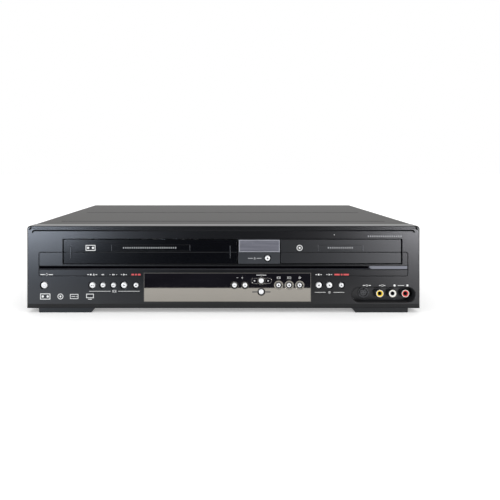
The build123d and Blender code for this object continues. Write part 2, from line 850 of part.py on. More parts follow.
def phono_bore_end(y_tip):
    return y_tip + phono_bore_depth


def phono_socket(x, z, y_floor, y_tip):
    """A phono socket that faces the front: a plated barrel on a flange, round a coloured insert with a bore."""
    shoulder = front_y + pocket_depth - phono_shoulder
    barrel = rod_y(x, z, phono_radius, y_tip, y_floor) + rod_y(x, z, phono_flange, shoulder, y_floor)
    barrel -= rod_y(x, z, phono_insert_radius, y_tip - 1, y_floor - 1.0)
    insert = rod_y(x, z, phono_insert_radius, y_tip + 0.3, y_floor - 1.0)
    insert -= rod_y(x, z, phono_bore, y_tip - 1, phono_bore_end(y_tip))
    insert -= turned([(0, -0.1), (2.6, -0.1), (phono_bore, 1.2), (0, 1.2)], x, y_tip + 0.3, z, (0, 1, 0))
    return Compound([barrel, insert])


def front_phono(index):
    x, z = phono_places()[index]
    return phono_socket(x, z, front_y + board_near, front_y + pocket_depth - phono_reach)


def s_video_socket():
    """A four-pin round socket with its ring groove, pin holes and key."""
    x, z = s_video_x, socket_level
    tip = front_y + pocket_depth - s_video_reach
    end = tip + s_video_depth
    body = rod_y(x, z, s_video_radius, tip, front_y + board_near)
    groove_outer = 4.75
    groove_inner = 3.9
    body -= rod_y(x, z, groove_outer, tip - 1, end) - rod_y(x, z, groove_inner, tip - 2, end + 1)
    for dx, dz in ((-1.7, 1.2), (1.7, 1.2), (-1.0, -1.6), (1.0, -1.6)):
        body -= rod_y(x + dx, z + dz, 0.45, tip - 1, end)
    body -= block(x - 1.1, x + 1.1, tip - 1, end, z + 2.6, z + 4.2)
    return body


# Cassette deck

def cassette_flap():
    """The flap over the cassette slot. It hangs on two pins at its top and swings inwards."""
    near = plate_recess
    plate = from_front(span(flap_left, flap_right, plate_bottom, bay_top - 1.0), near, near + flap_thickness)
    plate -= from_front(belt_outline(belt_line), near - 1, near + belt_line_depth - 0.1)
    plate -= from_front(label_frame(flap_left + flap_label_inset, flap_label_width), near - 1, near + label_depth)
    ridge = 0.9
    for x in (flap_left + 7.3, flap_right - 7.9):
        plate += from_front(span(x, x + ridge, plate_bottom + 5.8, plate_top - 6.4), 0, near + 0.5)
    plate += from_front(
        span(flap_left + 4, flap_right - 4, plate_bottom, plate_bottom + 1.2), near + flap_thickness, near + 4.2
    )
    y = front_y + flap_hinge_near
    for x0, x1 in ((bay_left - 2.0, flap_left + 3), (flap_right - 3, centre_left + 2.0)):
        plate += rod_x(y, flap_hinge_z, flap_pin_radius, x0, x1)
    return plate


def basket_floor():
    return bay_bottom - 0.1


def basket_half():
    return cassette_width / 2 + 0.5


def basket_pins():
    """Distances behind the basket's front edge where its side pins stand."""
    return (38.0, 68.0)


def cassette_basket():
    """The sheet-metal holder that carries the cassette: floor with reel openings, sides and two spring strips."""
    y0 = front_y + basket_near
    y1 = y0 + 100.0
    inner = basket_half()
    floor = basket_floor()
    top = floor + cassette_height + 0.9
    x0, x1 = cassette_x - inner, cassette_x + inner
    basket = block(x0 - basket_sheet, x1 + basket_sheet, y0, y1, floor - basket_sheet, floor)
    for x in (cassette_x - reel_spacing / 2, cassette_x + reel_spacing / 2):
        basket -= rod_z(x, y0 + 50, basket_reel_hole, floor - 3, floor + 1)
        basket -= block(x - basket_reel_hole, x + basket_reel_hole, y0 + 50, y1 + 1, floor - 3, floor + 1)
    basket -= block(cassette_x - 14, cassette_x + 14, y0 + 30, y1 + 1, floor - 3, floor + 1)
    for wall in (x0 - basket_sheet, x1):
        basket += block(wall, wall + basket_sheet, y0, y1, floor - basket_sheet, top)
    for side, x in ((-1, x0), (1, x1)):
        inward = sorted((x, x - side * 16))
        basket += block(*inward, y0 + 4, y1 - 4, top, top + basket_sheet)
        basket += block(*sorted((x, x + side * basket_sheet)), y0 + 4, y1 - 4, top - 1, top + basket_sheet)
        outer = x + side * basket_sheet
        reach = outer + side * (1.2 + carriage_sheet + 0.6)
        for near in basket_pins():
            basket += rod_x(y0 + near, basket_pin_level, carriage_pin_radius, *sorted((outer, reach)))
    return basket


def slider_face():
    """Inner face of the slider's side plates, from the cassette's middle."""
    return basket_half() + basket_sheet + 1.2


def carriage_slider():
    """The frame that draws the basket back: side plates with upright slots, joined by a bar over the basket."""
    y0 = front_y + basket_near
    y1 = y0 + 98.0
    low, high = slider_low, slider_high
    bar_z = basket_floor() + cassette_height + slider_bar_rise
    slot_half = carriage_pin_radius + carriage_slot_gap
    slot_low = basket_pin_level - basket_drop - slot_half
    slot_high = basket_pin_level + slot_half
    slider = None
    for side in (-1, 1):
        face = cassette_x + side * slider_face()
        outer = face + side * carriage_sheet
        plate = block(*sorted((face, outer)), y0, y1, low, high)
        plate += block(*sorted((face, outer)), y1 - 18, y1 - 4, high - 1, bar_z)
        for near in basket_pins():
            y = y0 + near
            plate -= from_side(
                span(y - slot_half, y + slot_half, slot_low, slot_high, slot_half - 0.01),
                *sorted((face - side, outer + side)),
            )
        for near in slider_pins():
            reach = outer + side * (1.2 + carriage_sheet + 0.4)
            plate += rod_x(y0 + near, slider_pin_level, carriage_pin_radius, *sorted((outer, reach)))
        slider = plate if slider is None else slider + plate
    edge = slider_face() + carriage_sheet
    slider += block(cassette_x - edge, cassette_x + edge, y1 - 18, y1 - 4, bar_z, bar_z + carriage_sheet)
    return slider


def slider_pins():
    return (22.0, 84.0)


def carriage_frame():
    """The two fixed side plates on the deck, with the long slots that guide the slider."""
    y0 = deck_front
    y1 = y0 + carriage_length
    slot_half = carriage_pin_radius + carriage_slot_gap
    slot_low = slider_pin_level - slot_half
    slot_high = slider_pin_level + slot_half
    first = front_y + basket_near + slider_pins()[0]
    last = front_y + basket_near + slider_pins()[1] + basket_back_travel
    plates = []
    for side in (-1, 1):
        face = cassette_x + side * (slider_face() + carriage_sheet + 1.2)
        outer = face + side * carriage_sheet
        plate = block(*sorted((face, outer)), y0, y1, deck_top, carriage_top)
        plate += block(*sorted((face, outer + side * 8)), y0, y1, deck_top, deck_top + carriage_sheet)
        plate -= from_side(
            span(first - slot_half, last + slot_half, slot_low, slot_high, slot_half - 0.01),
            *sorted((face - side, outer + side)),
        )
        for step in range(3):
            middle = y0 + 35 + step * 45.0
            window = span(middle - 17, middle + 17, 32.0, 62.0, 4.0)
            plate -= from_side(window, *sorted((face - side, outer + side)))
        plates.append(plate)
    return Compound(plates)


def reel_places():
    y = front_y + basket_near + 50 + basket_back_travel
    return [(cassette_x - reel_spacing / 2, y), (cassette_x + reel_spacing / 2, y)]


def drum_place():
    return cassette_x, front_y + drum_near


def capstan_place():
    return cassette_x + capstan_offset, front_y + capstan_near


def deck_chassis():
    """The pressed deck plate: down-turned edges, reel posts, capstan bush and tape guides round the drum."""
    x0, x1 = deck_left, deck_right
    y0, y1 = deck_front, deck_rear
    top = deck_top
    low = deck_level - deck_flange
    deck = block(x0, x1, y0, y1, deck_level, top)
    for xa in (x0, x1 - chassis_sheet):
        deck += block(xa, xa + chassis_sheet, y0, y1, low, deck_level + 0.1)
    for ya in (y0, y1 - chassis_sheet):
        deck += block(x0, x1, ya, ya + chassis_sheet, low, deck_level + 0.1)
    for x, y in reel_places():
        deck += rod_z(x, y, reel_post_radius, top - 0.1, top + 20.8)
    x, y = capstan_place()
    deck += rod_z(x, y, 4.0, top - 0.1, top + 8)
    deck -= rod_z(x, y, capstan_radius + pin_gap, deck_level - 6, top + 9)
    drum_x, drum_y = drum_place()
    for angle in (150, 185, -5, 30):
        gx = drum_x + 46 * math.cos(math.radians(angle))
        gy = drum_y + 40 * math.sin(math.radians(angle))
        deck += rod_z(gx, gy, 2.6, top - 0.1, top + guide_height - 1)
        deck += rod_z(gx, gy, 4.0, top + guide_height - 2, top + guide_height)
        deck += rod_z(gx, gy, 4.0, top - 0.1, top + guide_height / 3)
    for step in (-1, 0, 1):
        hole = Pos(cassette_x + step * 52.0, front_y + 75) * SlotOverall(40, 26)
        deck -= from_top(hole, deck_level - 6, top + 1)
    return deck


def reel_table(index):
    """A reel table: toothed rim, hub and the spindle with three fins that grips the cassette's reel."""
    x, y = reel_places()[index]
    low = deck_top + 0.5
    bore = reel_post_radius + pin_gap
    table = turned(
        [(bore, 0), (19, 0), (19, 3), (9, 3), (9, 9), (6, 10), (6, 20.0), (4.5, 23), (bore, 23)], x, y, low
    )
    fins = 3
    for step in range(fins):
        turn = 360 * step / fins
        fin = Pos(x, y, low + 15) * Rot(0, 0, turn) * Pos(6.5, 0, 0) * Box(3.0, 1.4, 11.0)
        table += fin
    notches = 24
    for step in range(notches):
        turn = 360 * step / notches
        table -= Pos(x, y, low + 1.5) * Rot(0, 0, turn) * Pos(19.0, 0, 0) * Box(1.8, 2.2, 4.0)
    return table


def drum_frame():
    """Where the tilted drum stands: the plane at the top of its fixed half."""
    x, y = drum_place()
    return Plane(origin=(x, y, drum_level)) * Rot(-drum_tilt, 0, 0)


def drum_base():
    """The fixed lower half of the head drum, with the helical step that guides the tape and its wedge foot."""
    fixed = Cylinder(drum_radius - 0.05, 12.0, align=(Align.CENTER, Align.CENTER, Align.MAX))
    fixed += Pos(0, 0, -9) * Cylinder(drum_radius + 0.6, 3.0, align=(Align.CENTER, Align.CENTER, Align.MAX))
    fixed += Cylinder(3.0, 18.0, align=(Align.CENTER, Align.CENTER, Align.MIN))
    tilted = drum_frame() * fixed
    x, y = drum_place()
    foot = block(x - 24, x + 24, y - 22, y + 22, deck_top, drum_level - 7.0)
    return tilted + foot


def head_drum():
    """The spinning upper half, with windows for its heads at the lower rim."""
    bore = 3.0 + pin_gap
    upper = revolve(
        make_face(Polyline([
            (bore, 0, 0.3), (drum_radius, 0, 0.3), (drum_radius, 0, 14.5), (drum_radius - 2, 0, 15.5),
            (14, 0, 15.5), (14, 0, 17.0), (bore, 0, 17.0)], close=True)),
        Axis.Z,
    )
    heads = 4
    for step in range(heads):
        turn = 360 * step / heads
        upper -= Rot(0, 0, turn) * Pos(drum_radius, 0, 0.8) * Box(3.0, 4.0, 2.6)
    for turn in (0, 120, 240):
        upper -= Rot(0, 0, turn) * Pos(21, 0, 15) * Cylinder(4.0, 6.0)
    return drum_frame() * upper


def capstan_flywheel():
    """The capstan: a ground shaft up through the deck, on a flywheel with a belt groove under it."""
    x, y = capstan_place()
    return turned(
        [
            (0, 0), (22, 0), (24, 1.0), (24, 2.0), (22.8, 2.8), (24, 3.6), (24, 5.0), (8, 5.0), (8, 6.5),
            (capstan_radius, 6.5), (capstan_radius, 48.0), (capstan_radius - 0.5, 49.0), (0, 49.0),
        ],
        x, y, deck_level - 11.0,
    )


# Disc drive

def rack_line():
    """X of the rack's pitch line, on the tray's left edge."""
    return tray_x - tray_width / 2 + 8.0


def gear_place():
    return rack_line() + gear_module * gear_teeth / 2, tray_start + gear_from_tray_front


def gear_outline():
    """An involute spur gear, with a gap and not a tooth on the side that faces the rack."""
    pitch = gear_module * gear_teeth / 2
    base = pitch * math.cos(pressure_angle)
    tip = pitch + gear_module
    root = pitch - 1.25 * gear_module

    def involute(radius):
        alpha = math.acos(min(1.0, base / radius))
        return math.tan(alpha) - alpha

    half_tooth = (math.pi * gear_module / 2 - gear_backlash / 2) / (2 * pitch)
    flank_steps = 4
    radii = [base + (tip - base) * step / flank_steps for step in range(flank_steps + 1)]
    flank = [(radius, half_tooth + involute(pitch) - involute(radius)) for radius in radii]
    flank.insert(0, (root, flank[0][1]))
    points = []
    for tooth in range(gear_teeth):
        middle = 2 * math.pi * (tooth + 0.5) / gear_teeth
        side = [(radius, middle - angle) for radius, angle in flank]
        side += [(radius, middle + angle) for radius, angle in reversed(flank)]
        points += [(radius * math.cos(angle), radius * math.sin(angle)) for radius, angle in side]
    return make_face(Polyline(points, close=True))


def gear_top():
    return tray_floor - 2.0


def loading_gear():
    """The gear that drives the tray's rack, on a long hub over its post."""
    x, y = gear_place()
    top = gear_top()
    low = drive_base + drive_wall + slide_gap
    gear = from_top(Pos(x, y) * gear_outline(), top - gear_face, top)
    gear += rod_z(x, y, gear_hub_radius, low, top)
    gear -= rod_z(x, y, gear_post_radius + pin_gap, low - 1, top + 1)
    return gear


def rack():
    """The toothed rib under the tray's left edge that the gear drives."""
    line = rack_line()
    gear_y = gear_place()[1]
    pitch = math.pi * gear_module
    teeth = int((tray_travel + 8) / pitch) + 1
    slope = math.tan(pressure_angle)
    half = (pitch / 2 - gear_backlash / 2) / 2
    root_x = line - 1.25 * gear_module
    tip_x = line + gear_module
    points = [(root_x - 2.6, gear_y - 5.5)]
    points.append((root_x, gear_y - 5.5))
    for tooth in range(-1, teeth):
        middle = gear_y + tooth * pitch
        root_half = half + slope * (line - root_x)
        tip_half = half - slope * (tip_x - line)
        points += [
            (root_x, middle - root_half), (tip_x, middle - tip_half),
            (tip_x, middle + tip_half), (root_x, middle + root_half),
        ]
    points.append((root_x, gear_y + (teeth - 1) * pitch + 2.6))
    points.append((root_x - 2.6, gear_y + (teeth - 1) * pitch + 2.6))
    outline = make_face(Polyline(points, close=True))
    return from_top(outline, tray_floor - 5.5, tray_floor + 0.1)


def disc_tray():
    """The sliding tray: wells for both disc sizes, a slot for spindle and pickup, side tongues and a rack."""
    x0, x1 = tray_x - tray_width / 2, tray_x + tray_width / 2
    y0, y1 = tray_start, tray_start + tray_length
    plan = Pos(tray_x, (y0 + y1) / 2) * RectangleRounded(tray_width, tray_length, 3.0)
    tray = from_top(plan, tray_floor, tray_surface)
    tray -= turned(
        [(0, -disc_well_depth), (disc_radius - 0.8, -disc_well_depth), (disc_radius + 0.7, 1), (0, 1)],
        tray_x, disc_y, tray_surface,
    )
    tray -= rod_z(tray_x, disc_y, small_disc_radius, tray_surface - disc_well_depth - 0.8, tray_surface)
    slot = Pos(tray_x, disc_y) * Circle(tray_slot_width / 2)
    slot += Pos(tray_x, (disc_y + y1 + 5) / 2) * Rectangle(tray_slot_width, y1 + 5 - disc_y)
    tray -= from_top(slot, tray_floor - 1, tray_surface + 1)
    for side, x in ((-1, x0), (1, x1)):
        tongue = sorted((x - side * 0.5, x + side * tongue_width))
        tray += block(*tongue, y0 + 12, y1 - 3, tray_floor, tray_floor + tongue_thickness)
    tray += rack()
    finger = Pos(tray_x, disc_y - disc_radius) * SlotOverall(34, 13)
    tray -= from_top(finger, tray_surface - disc_well_depth, tray_surface + 1)
    return tray


def tray_front():
    """The tray's front: a plate with returned edges, in line with the belt across the panel."""
    near = plate_recess
    face = span(tray_front_left, tray_front_right, plate_bottom + 0.4, plate_top)
    inside = span(tray_front_left + 1.4, tray_front_right - 1.4, plate_bottom + 1.8, plate_top - 1.4)
    plate = from_front(face, near, near + tray_front_thickness)
    plate += from_front(face - inside, near + 1, near + tray_front_thickness + tray_front_return)
    plate -= from_front(belt_outline(belt_line), near - 1, near + belt_line_depth - 0.1)
    label = label_frame(tray_front_left + tray_label_inset, tray_label_width)
    plate -= from_front(label, near - 1, near + label_depth)
    return plate


def drive_housing():
    """The drive's moulded base: side walls with guide ledges, a window for the traverse and the clamp's bridge."""
    x0, x1 = tray_x - drive_half_width, tray_x + drive_half_width
    y0 = front_y + drive_near
    y1 = y0 + drive_length
    floor_top = drive_base + drive_wall
    house = block(x0, x1, y0, y1, drive_base, floor_top)
    for xa in (x0, x1 - drive_wall):
        house += block(xa, xa + drive_wall, y0, y1, drive_base, drive_wall_top)
    house += block(x0, x1, y1 - drive_wall, y1, drive_base, drive_wall_top)
    low = tray_floor - slide_gap
    high = tray_floor + tongue_thickness + slide_gap
    for side in (-1, 1):
        wall = tray_x + side * (drive_half_width - drive_wall)
        edge = tray_x + side * (tray_width / 2 + slide_gap)
        for z0 in (low - guide_ledge, high):
            house += block(*sorted((wall, edge)), y0, y1 - 8, z0, z0 + guide_ledge)
        for step in range(4):
            y = y0 + 14 + step * 38
            outer = tray_x + side * drive_half_width
            opening = sorted((outer - side * (drive_wall + 1), outer + side))
            house -= block(*opening, y, y + 20, floor_top + 2, low - guide_ledge - 1.5)

    gap = traverse_window_gap
    window_half = traverse_half_width + gap
    house -= block(
        tray_x - window_half, tray_x + window_half, disc_y - traverse_reach_front - gap,
        disc_y + traverse_reach_rear + gap, drive_base - 1, floor_top + 1,
    )
    pin_y, pin_z = traverse_hinge()
    for side in (-1, 1):
        face = tray_x + side * (window_half + slide_gap)
        bearing = block(*sorted((face, face + side * 4)), pin_y - 3.5, pin_y + 3.5, floor_top - 0.5, pin_z + 3)
        house += bearing - rod_x(pin_y, pin_z, traverse_pin_radius + pin_gap, face - 6, face + 6)
        house -= rod_x(pin_y, pin_z, traverse_pin_radius + pin_gap, *sorted((face - side, face + side * 4)))
    gear_x, gear_y = gear_place()
    house += rod_z(gear_x, gear_y, gear_post_radius, floor_top - 0.5, gear_top() - 0.5)

    bridge_low = drive_wall_top - bridge_sheet
    bridge = block(x0, x1, disc_y - 13, disc_y + 13, bridge_low, drive_wall_top)
    bridge += rod_z(tray_x, disc_y, 19.0, bridge_low, drive_wall_top)
    bridge += rod_z(tray_x, disc_y, clamp_hole_radius + 2, drive_wall_top - 0.5, drive_wall_top + 1)
    bridge -= rod_z(tray_x, disc_y, clamp_hole_radius, bridge_low - 1, drive_wall_top + 2)
    return house + bridge


def traverse_hinge():
    """Where the traverse's hinge pins stand, as (y, z)."""
    return disc_y + hinge_near_spindle, traverse_level + 1.5


def turntable():
    """The disc's turntable on the motor's spindle, with a sprung cone for the disc's hole."""
    return turned(
        [
            (0, 0), (4.0, 0), (4.0, 5.3), (14.0, 5.9), (14.0, 7.7), (7.4, 7.7), (7.3, 8.5), (5.5, 10.1), (0, 10.1),
        ],
        tray_x, disc_y, turntable_level,
    )


def traverse():
    """The traverse, which lifts the turntable: a frame on hinge pins, with the motor and the pickup's two rods."""
    half = traverse_half_width
    y0, y1 = disc_y - traverse_reach_front, disc_y + traverse_reach_rear
    low, top = traverse_level, traverse_level + traverse_sheet
    frame = block(tray_x - half, tray_x + half, y0, y1, low, top)
    frame -= block(tray_x - half + 8, tray_x + half - 8, disc_y + 16, y1 - 8, low - 1, top + 1)
    frame += rod_z(tray_x, disc_y, 12.5, top - 0.5, turntable_level - slide_gap)
    pin_y, pin_z = traverse_hinge()
    for side in (-1, 1):
        ear = tray_x + side * half
        frame += block(*sorted((ear, ear - side * 3)), pin_y - 3, pin_y + 3, low, pin_z + 2.5)
        frame += rod_x(pin_y, pin_z, traverse_pin_radius, *sorted((ear, ear + side * 5.5)))
    holders = (y0 + 2, y1 - 7)
    for x in (tray_x - rod_offset, tray_x + rod_offset):
        for ya in holders:
            frame += block(x - 3, x + 3, ya, ya + 5, top - 0.5, rod_level + 3)
    rods = [
        rod_y(x, rod_level, rod_radius, holders[0] + 5, holders[1])
        for x in (tray_x - rod_offset, tray_x + rod_offset)
    ]
    return Compound([frame, *rods])


def pickup_sled():
    """The laser pickup on its sled, with the lens on top."""
    y0 = disc_y + 20.0
    y1 = y0 + 28.0
    half = 14.0
    z0 = traverse_level + traverse_sheet + 0.4
    sled = block(tray_x - half, tray_x + half, y0, y1, z0, z0 + 7.5)
    for side in (-1, 1):
        x = tray_x + side * rod_offset
        arm = sorted((tray_x + side * (half - 1), x + side * 3.5))
        sled += block(*arm, y0 + 6, y1 - 6, rod_level - 2.5, rod_level + 3)
        sled -= rod_y(x, rod_level, rod_radius + pin_gap, y0, y1)
    sled += rod_z(tray_x, y0 + 9, 7.0, z0 + 7, z0 + 9)
    sled += turned([(0, -0.5), (3.2, -0.5), (3.2, 1.0), (2.4, 1.6), (0, 1.9)], tray_x, y0 + 9, z0 + 9)
    return sled


def disc_clamp():
    """The puck that hangs in the bridge and holds the disc down on the turntable."""
    rim = drive_wall_top + 1.2
    neck = clamp_hole_radius - 0.6
    low = turntable_level + 10.6
    return turned(
        [
            (5.9, low), (14.0, low), (14.0, low + 2.2), (neck, low + 3.2), (neck, rim), (12.5, rim),
            (12.5, rim + 1.2), (0, rim + 1.2), (0, low + 3.7), (5.9, low + 2.7),
        ],
        tray_x, disc_y, 0,
    )


# Hard disk, boards, fan and rear sockets

def hard_disk_drive():
    """A 3.5 inch hard disk: cast body with a stepped lid, spindle cap and connectors at its back end."""
    x0 = tray_x - disk_width / 2
    y0 = disk_y
    z0 = disk_level
    disk = block(x0, x0 + disk_width, y0, y0 + disk_length, z0, z0 + disk_height - 2)
    disk = chamfer(disk.edges().filter_by(Axis.Z), 2.0)
    lid = Pos(tray_x, y0 + disk_length / 2) * RectangleRounded(disk_width - 6, disk_length - 8, 10)
    disk += from_top(lid, z0 + disk_height - 2.5, z0 + disk_height - 0.8)
    disk += rod_z(tray_x, y0 + 56, 14.0, z0 + disk_height - 1, z0 + disk_height)
    disk += rod_z(tray_x + 30, y0 + 112, 9.0, z0 + disk_height - 1, z0 + disk_height - 0.2)
    end = y0 + disk_length
    data_width = 55.0
    supply_width = 24.0
    disk -= block(x0 + 8, x0 + 8 + data_width, end - 6, end + 1, z0 - 1, z0 + 8)
    disk -= block(x0 + disk_width - 7.6 - supply_width, x0 + disk_width - 7.6, end - 6, end + 1, z0 - 1, z0 + 8)
    return disk


def hdmi_place():
    return chassis_half - hdmi_inset, hdmi_level


def main_board():
    """The main circuit board with its processor's heat sink, chips, connectors and the digital video socket."""
    x0, y0, y1 = main_left, main_front, main_rear
    top = board_top
    board = block(x0, main_right, y0, y1, board_level, top)
    sink_x, sink_y = x0 + 58, y0 + 10
    board += block(sink_x, sink_x + heat_sink_size, sink_y, sink_y + heat_sink_size, top, top + 3)
    fins = 9
    for step in range(fins):
        x = sink_x + 1 + step * heat_sink_pitch
        board += block(x, x + heat_sink_fin, sink_y + 1, sink_y + heat_sink_size - 1, top + 2.9, top + 14)
    chips = ((108, 16, 22, 12), (108, 34, 22, 12), (148, 20, 18, 18), (178, 2, 14, 14), (26, 28, 20, 14))
    for along, back, width, depth in chips:
        board += block(x0 + along, x0 + along + width, y0 + back, y0 + back + depth, top, top + 1.6)
    for along in (138, 148, 158):
        board += rod_z(x0 + along, y1 - 38, 4.0, top, top + 11)
    board += block(x0 + 78, x0 + 118, y0 + 2, y0 + 8, top, top + 9)
    x, z = hdmi_place()
    half_wide, half_high = hdmi_half_width, hdmi_half_height
    board += block(x - half_wide, x + half_wide, y1 - 12, rear_y + 0.5, z - half_high, z + half_high)
    board += block(x - half_wide, x + half_wide, y1 - 12, y1 - 1, top - 0.1, z)
    board -= block(x - half_wide + 0.7, x + half_wide - 0.7, rear_y - 8, rear_y + 2, z - 2.2, z + 2.3)
    board += block(x - half_wide + 1.9, x + half_wide - 1.9, rear_y - 8.5, rear_y - 1, z - 0.4, z + 0.5)
    return board


def power_board():
    """The power supply: board, transformer, big capacitor, smaller ones and a finned heat sink."""
    x1, y0, y1 = power_right, power_front, power_rear
    top = board_top
    middle = (y0 + y1) / 2
    board = block(power_left, x1, y0, y1, board_level, top)
    core = (x1 - 109, x1 - 71, y0 + 9, y1 - 11)
    board += block(*core, top, top + 8) + block(*core, top + 22, top + 30)
    board += block(x1 - 105, x1 - 75, y0 + 6, y1 - 8, top + 6, top + 24)
    board += rod_z(x1 - 141, middle, 11.0, top, top + 36)
    for step in range(5):
        board += rod_z(x1 - 51 + step * 11.0, y1 - 14, 4.2, top, top + 18)
    fins = 8
    fin_pitch = 5.0
    sink_x = x1 - 49
    for step in range(fins):
        x = sink_x + step * fin_pitch
        board += block(x, x + 1.5, y0 + 6, y0 + 22, top, top + 34)
    board += block(sink_x, sink_x + (fins - 1) * fin_pitch + 1.5, y0 + 12, y0 + 15, top, top + 34)
    board += block(power_left + 35, power_left + 50, middle - 9, middle + 9, top, top + 20)
    return board


def fan_place():
    return chassis_half - fan_inset, fan_level


def fan_shell_near():
    return body_depth - cover_sheet - fan_thickness


def fan_frame():
    """The fan's square frame: round duct, corner ears, four struts and the motor's seat with its pin."""
    x, z = fan_place()
    near = fan_shell_near()
    half = fan_size / 2
    duct = span(x - half, x + half, z - half, z + half, 3.0) - Pos(x, z) * Circle(half - 1.6)
    frame = from_front(duct, near, near + fan_thickness)
    waist = Pos(x, z) * Circle(half * 1.5) - Pos(x, z) * Circle(half - 0.1)
    frame -= from_front(waist, near + 3.5, near + fan_thickness - 3.5)
    seat = Pos(x, z) * Circle(fan_hub_radius)
    for turn in (45, 135):
        seat += Pos(x, z) * Rot(0, 0, turn) * Rectangle(fan_size, 3.0)
    seat &= Pos(x, z) * Circle(half - 1.0)
    frame += from_front(seat, near + fan_thickness - 2.2, near + fan_thickness)
    frame += rod_y(x, z, fan_pin_radius, front_y + near + 3, front_y + near + fan_thickness - 1)
    return frame


def fan_rotor():
    """The fan's rotor: a cup-shaped hub with pitched blades."""
    x, z = fan_place()
    near = fan_shell_near() + 1.0
    length = fan_thickness - 2.2 - 1.0 - 0.5
    hub = Cylinder(fan_hub_radius, length)
    blades = Part()
    outer = fan_size / 2 - 2.6
    for step in range(fan_blades):
        turn = 360 * step / fan_blades
        blade = Box(outer - fan_hub_radius + 1.5, 13.0, 1.1)
        blades += Rot(0, 0, turn) * Pos((fan_hub_radius - 1 + outer) / 2, 0, 0) * Rot(38, 0, 0) * blade
    blades &= Cylinder(outer, length - 0.6) - Cylinder(fan_hub_radius - 0.5, length)
    rotor = hub + blades
    rotor -= Pos(0, 0, -1.0) * Cylinder(fan_pin_radius + pin_gap, length)
    place = Plane(origin=(x, front_y + near + length / 2, z), x_dir=(1, 0, 0), z_dir=(0, -1, 0))
    return place * rotor


def scart_places():
    return [(chassis_half - scart_inset, z) for z in scart_levels]


def scart_sockets():
    """Two 21-contact sockets: a slanted shroud round two rows of contact slits."""
    made = []
    for x, z in scart_places():
        wide, high = scart_half_width, scart_half_height
        body = block(x - wide, x + wide, rear_y - 18, rear_y + 2.0, z - high, z + high)
        body += block(x - wide - 2, x + wide + 2, rear_y - 4.0, rear_y - cover_sheet, z - high - 1.5, z + high + 1.5)
        mouth = make_face(Polyline([
            (x - 23, z - 6), (x + 23, z - 6), (x + 23, z + 1), (x + 18, z + 6), (x - 23, z + 6)], close=True))
        body -= from_front(mouth, body_depth - 7.0, body_depth + 3)
        for row, first in ((2.4, -17.0), (-2.4, -19.0)):
            for step in range(10):
                xa = x + first + step * 3.8
                slit = span(xa - 0.5, xa + 0.5, z + row - 1.4, z + row + 1.4)
                body -= from_front(slit, body_depth - 11, body_depth - 6)
        made.append(body)
    return Compound(made)


def rear_phono_places():
    right = chassis_half - rear_phono_inset
    return [(x, z) for x in (right - rear_phono_pitch, right) for z in rear_phono_levels]


def rear_jacks():
    """Six phono sockets in two columns on one block behind the rear panel."""
    block_front = rear_y - 12.0
    (left, low), (right, high) = rear_phono_places()[0], rear_phono_places()[-1]
    body = block(left - 8, right + 8, block_front, rear_y - cover_sheet, low - 8.5, high + 8)
    for x, z in rear_phono_places():
        body += rod_y(x, z, rear_phono_collar, rear_y - 2, rear_y + 0.8)
        body += rod_y(x, z, phono_radius, rear_y, rear_y + phono_rear_reach)
        body -= rod_y(x, z, phono_bore, rear_y + phono_rear_reach - phono_bore_depth, rear_y + phono_rear_reach + 1)
    return body


def aerial_places():
    return [(chassis_half - aerial_inset, z) for z in aerial_levels]


def aerial_sockets():
    """The tuner's screened can with the aerial input and output in its back wall."""
    x = chassis_half - aerial_inset
    half = tuner_half_width
    can = block(x - half, x + half, rear_y - tuner_depth, rear_y - cover_sheet, board_top, tuner_top)
    for x, z in aerial_places():
        can += rod_y(x, z, aerial_collar, rear_y - 2, rear_y + 1.0)
        can += rod_y(x, z, aerial_radius, rear_y, rear_y + socket_reach)
        can -= rod_y(x, z, 3.9, rear_y - 6, rear_y + socket_reach + 1)
        can += rod_y(x, z, 1.2, rear_y - 7, rear_y + socket_reach - 1.0)
    return can


def inlet_place():
    return -chassis_half + inlet_inset, inlet_level


def power_inlet():
    """A two-pin mains inlet with a figure-eight mouth."""
    x, z = inlet_place()
    wide, high = inlet_half_width, inlet_half_height
    body = block(x - wide, x + wide, rear_y - 16, rear_y + 1.2, z - high, z + high)
    body += block(x - wide - 2, x + wide + 2, rear_y - 3.5, rear_y - cover_sheet, z - high - 1.5, z + high + 1.5)
    mouth = Pos(x - 3.6, z) * Circle(4.7) + Pos(x + 3.6, z) * Circle(4.7)
    body -= from_front(mouth, body_depth - 12.0, body_depth + 2)
    for side in (-1, 1):
        body += rod_y(x + side * 4.3, z, 1.2, rear_y - 12.5, rear_y - 3.0)
    body += block(x - wide, x + wide, rear_y - 16, rear_y - 13, board_top, z - high + 1)
    return body


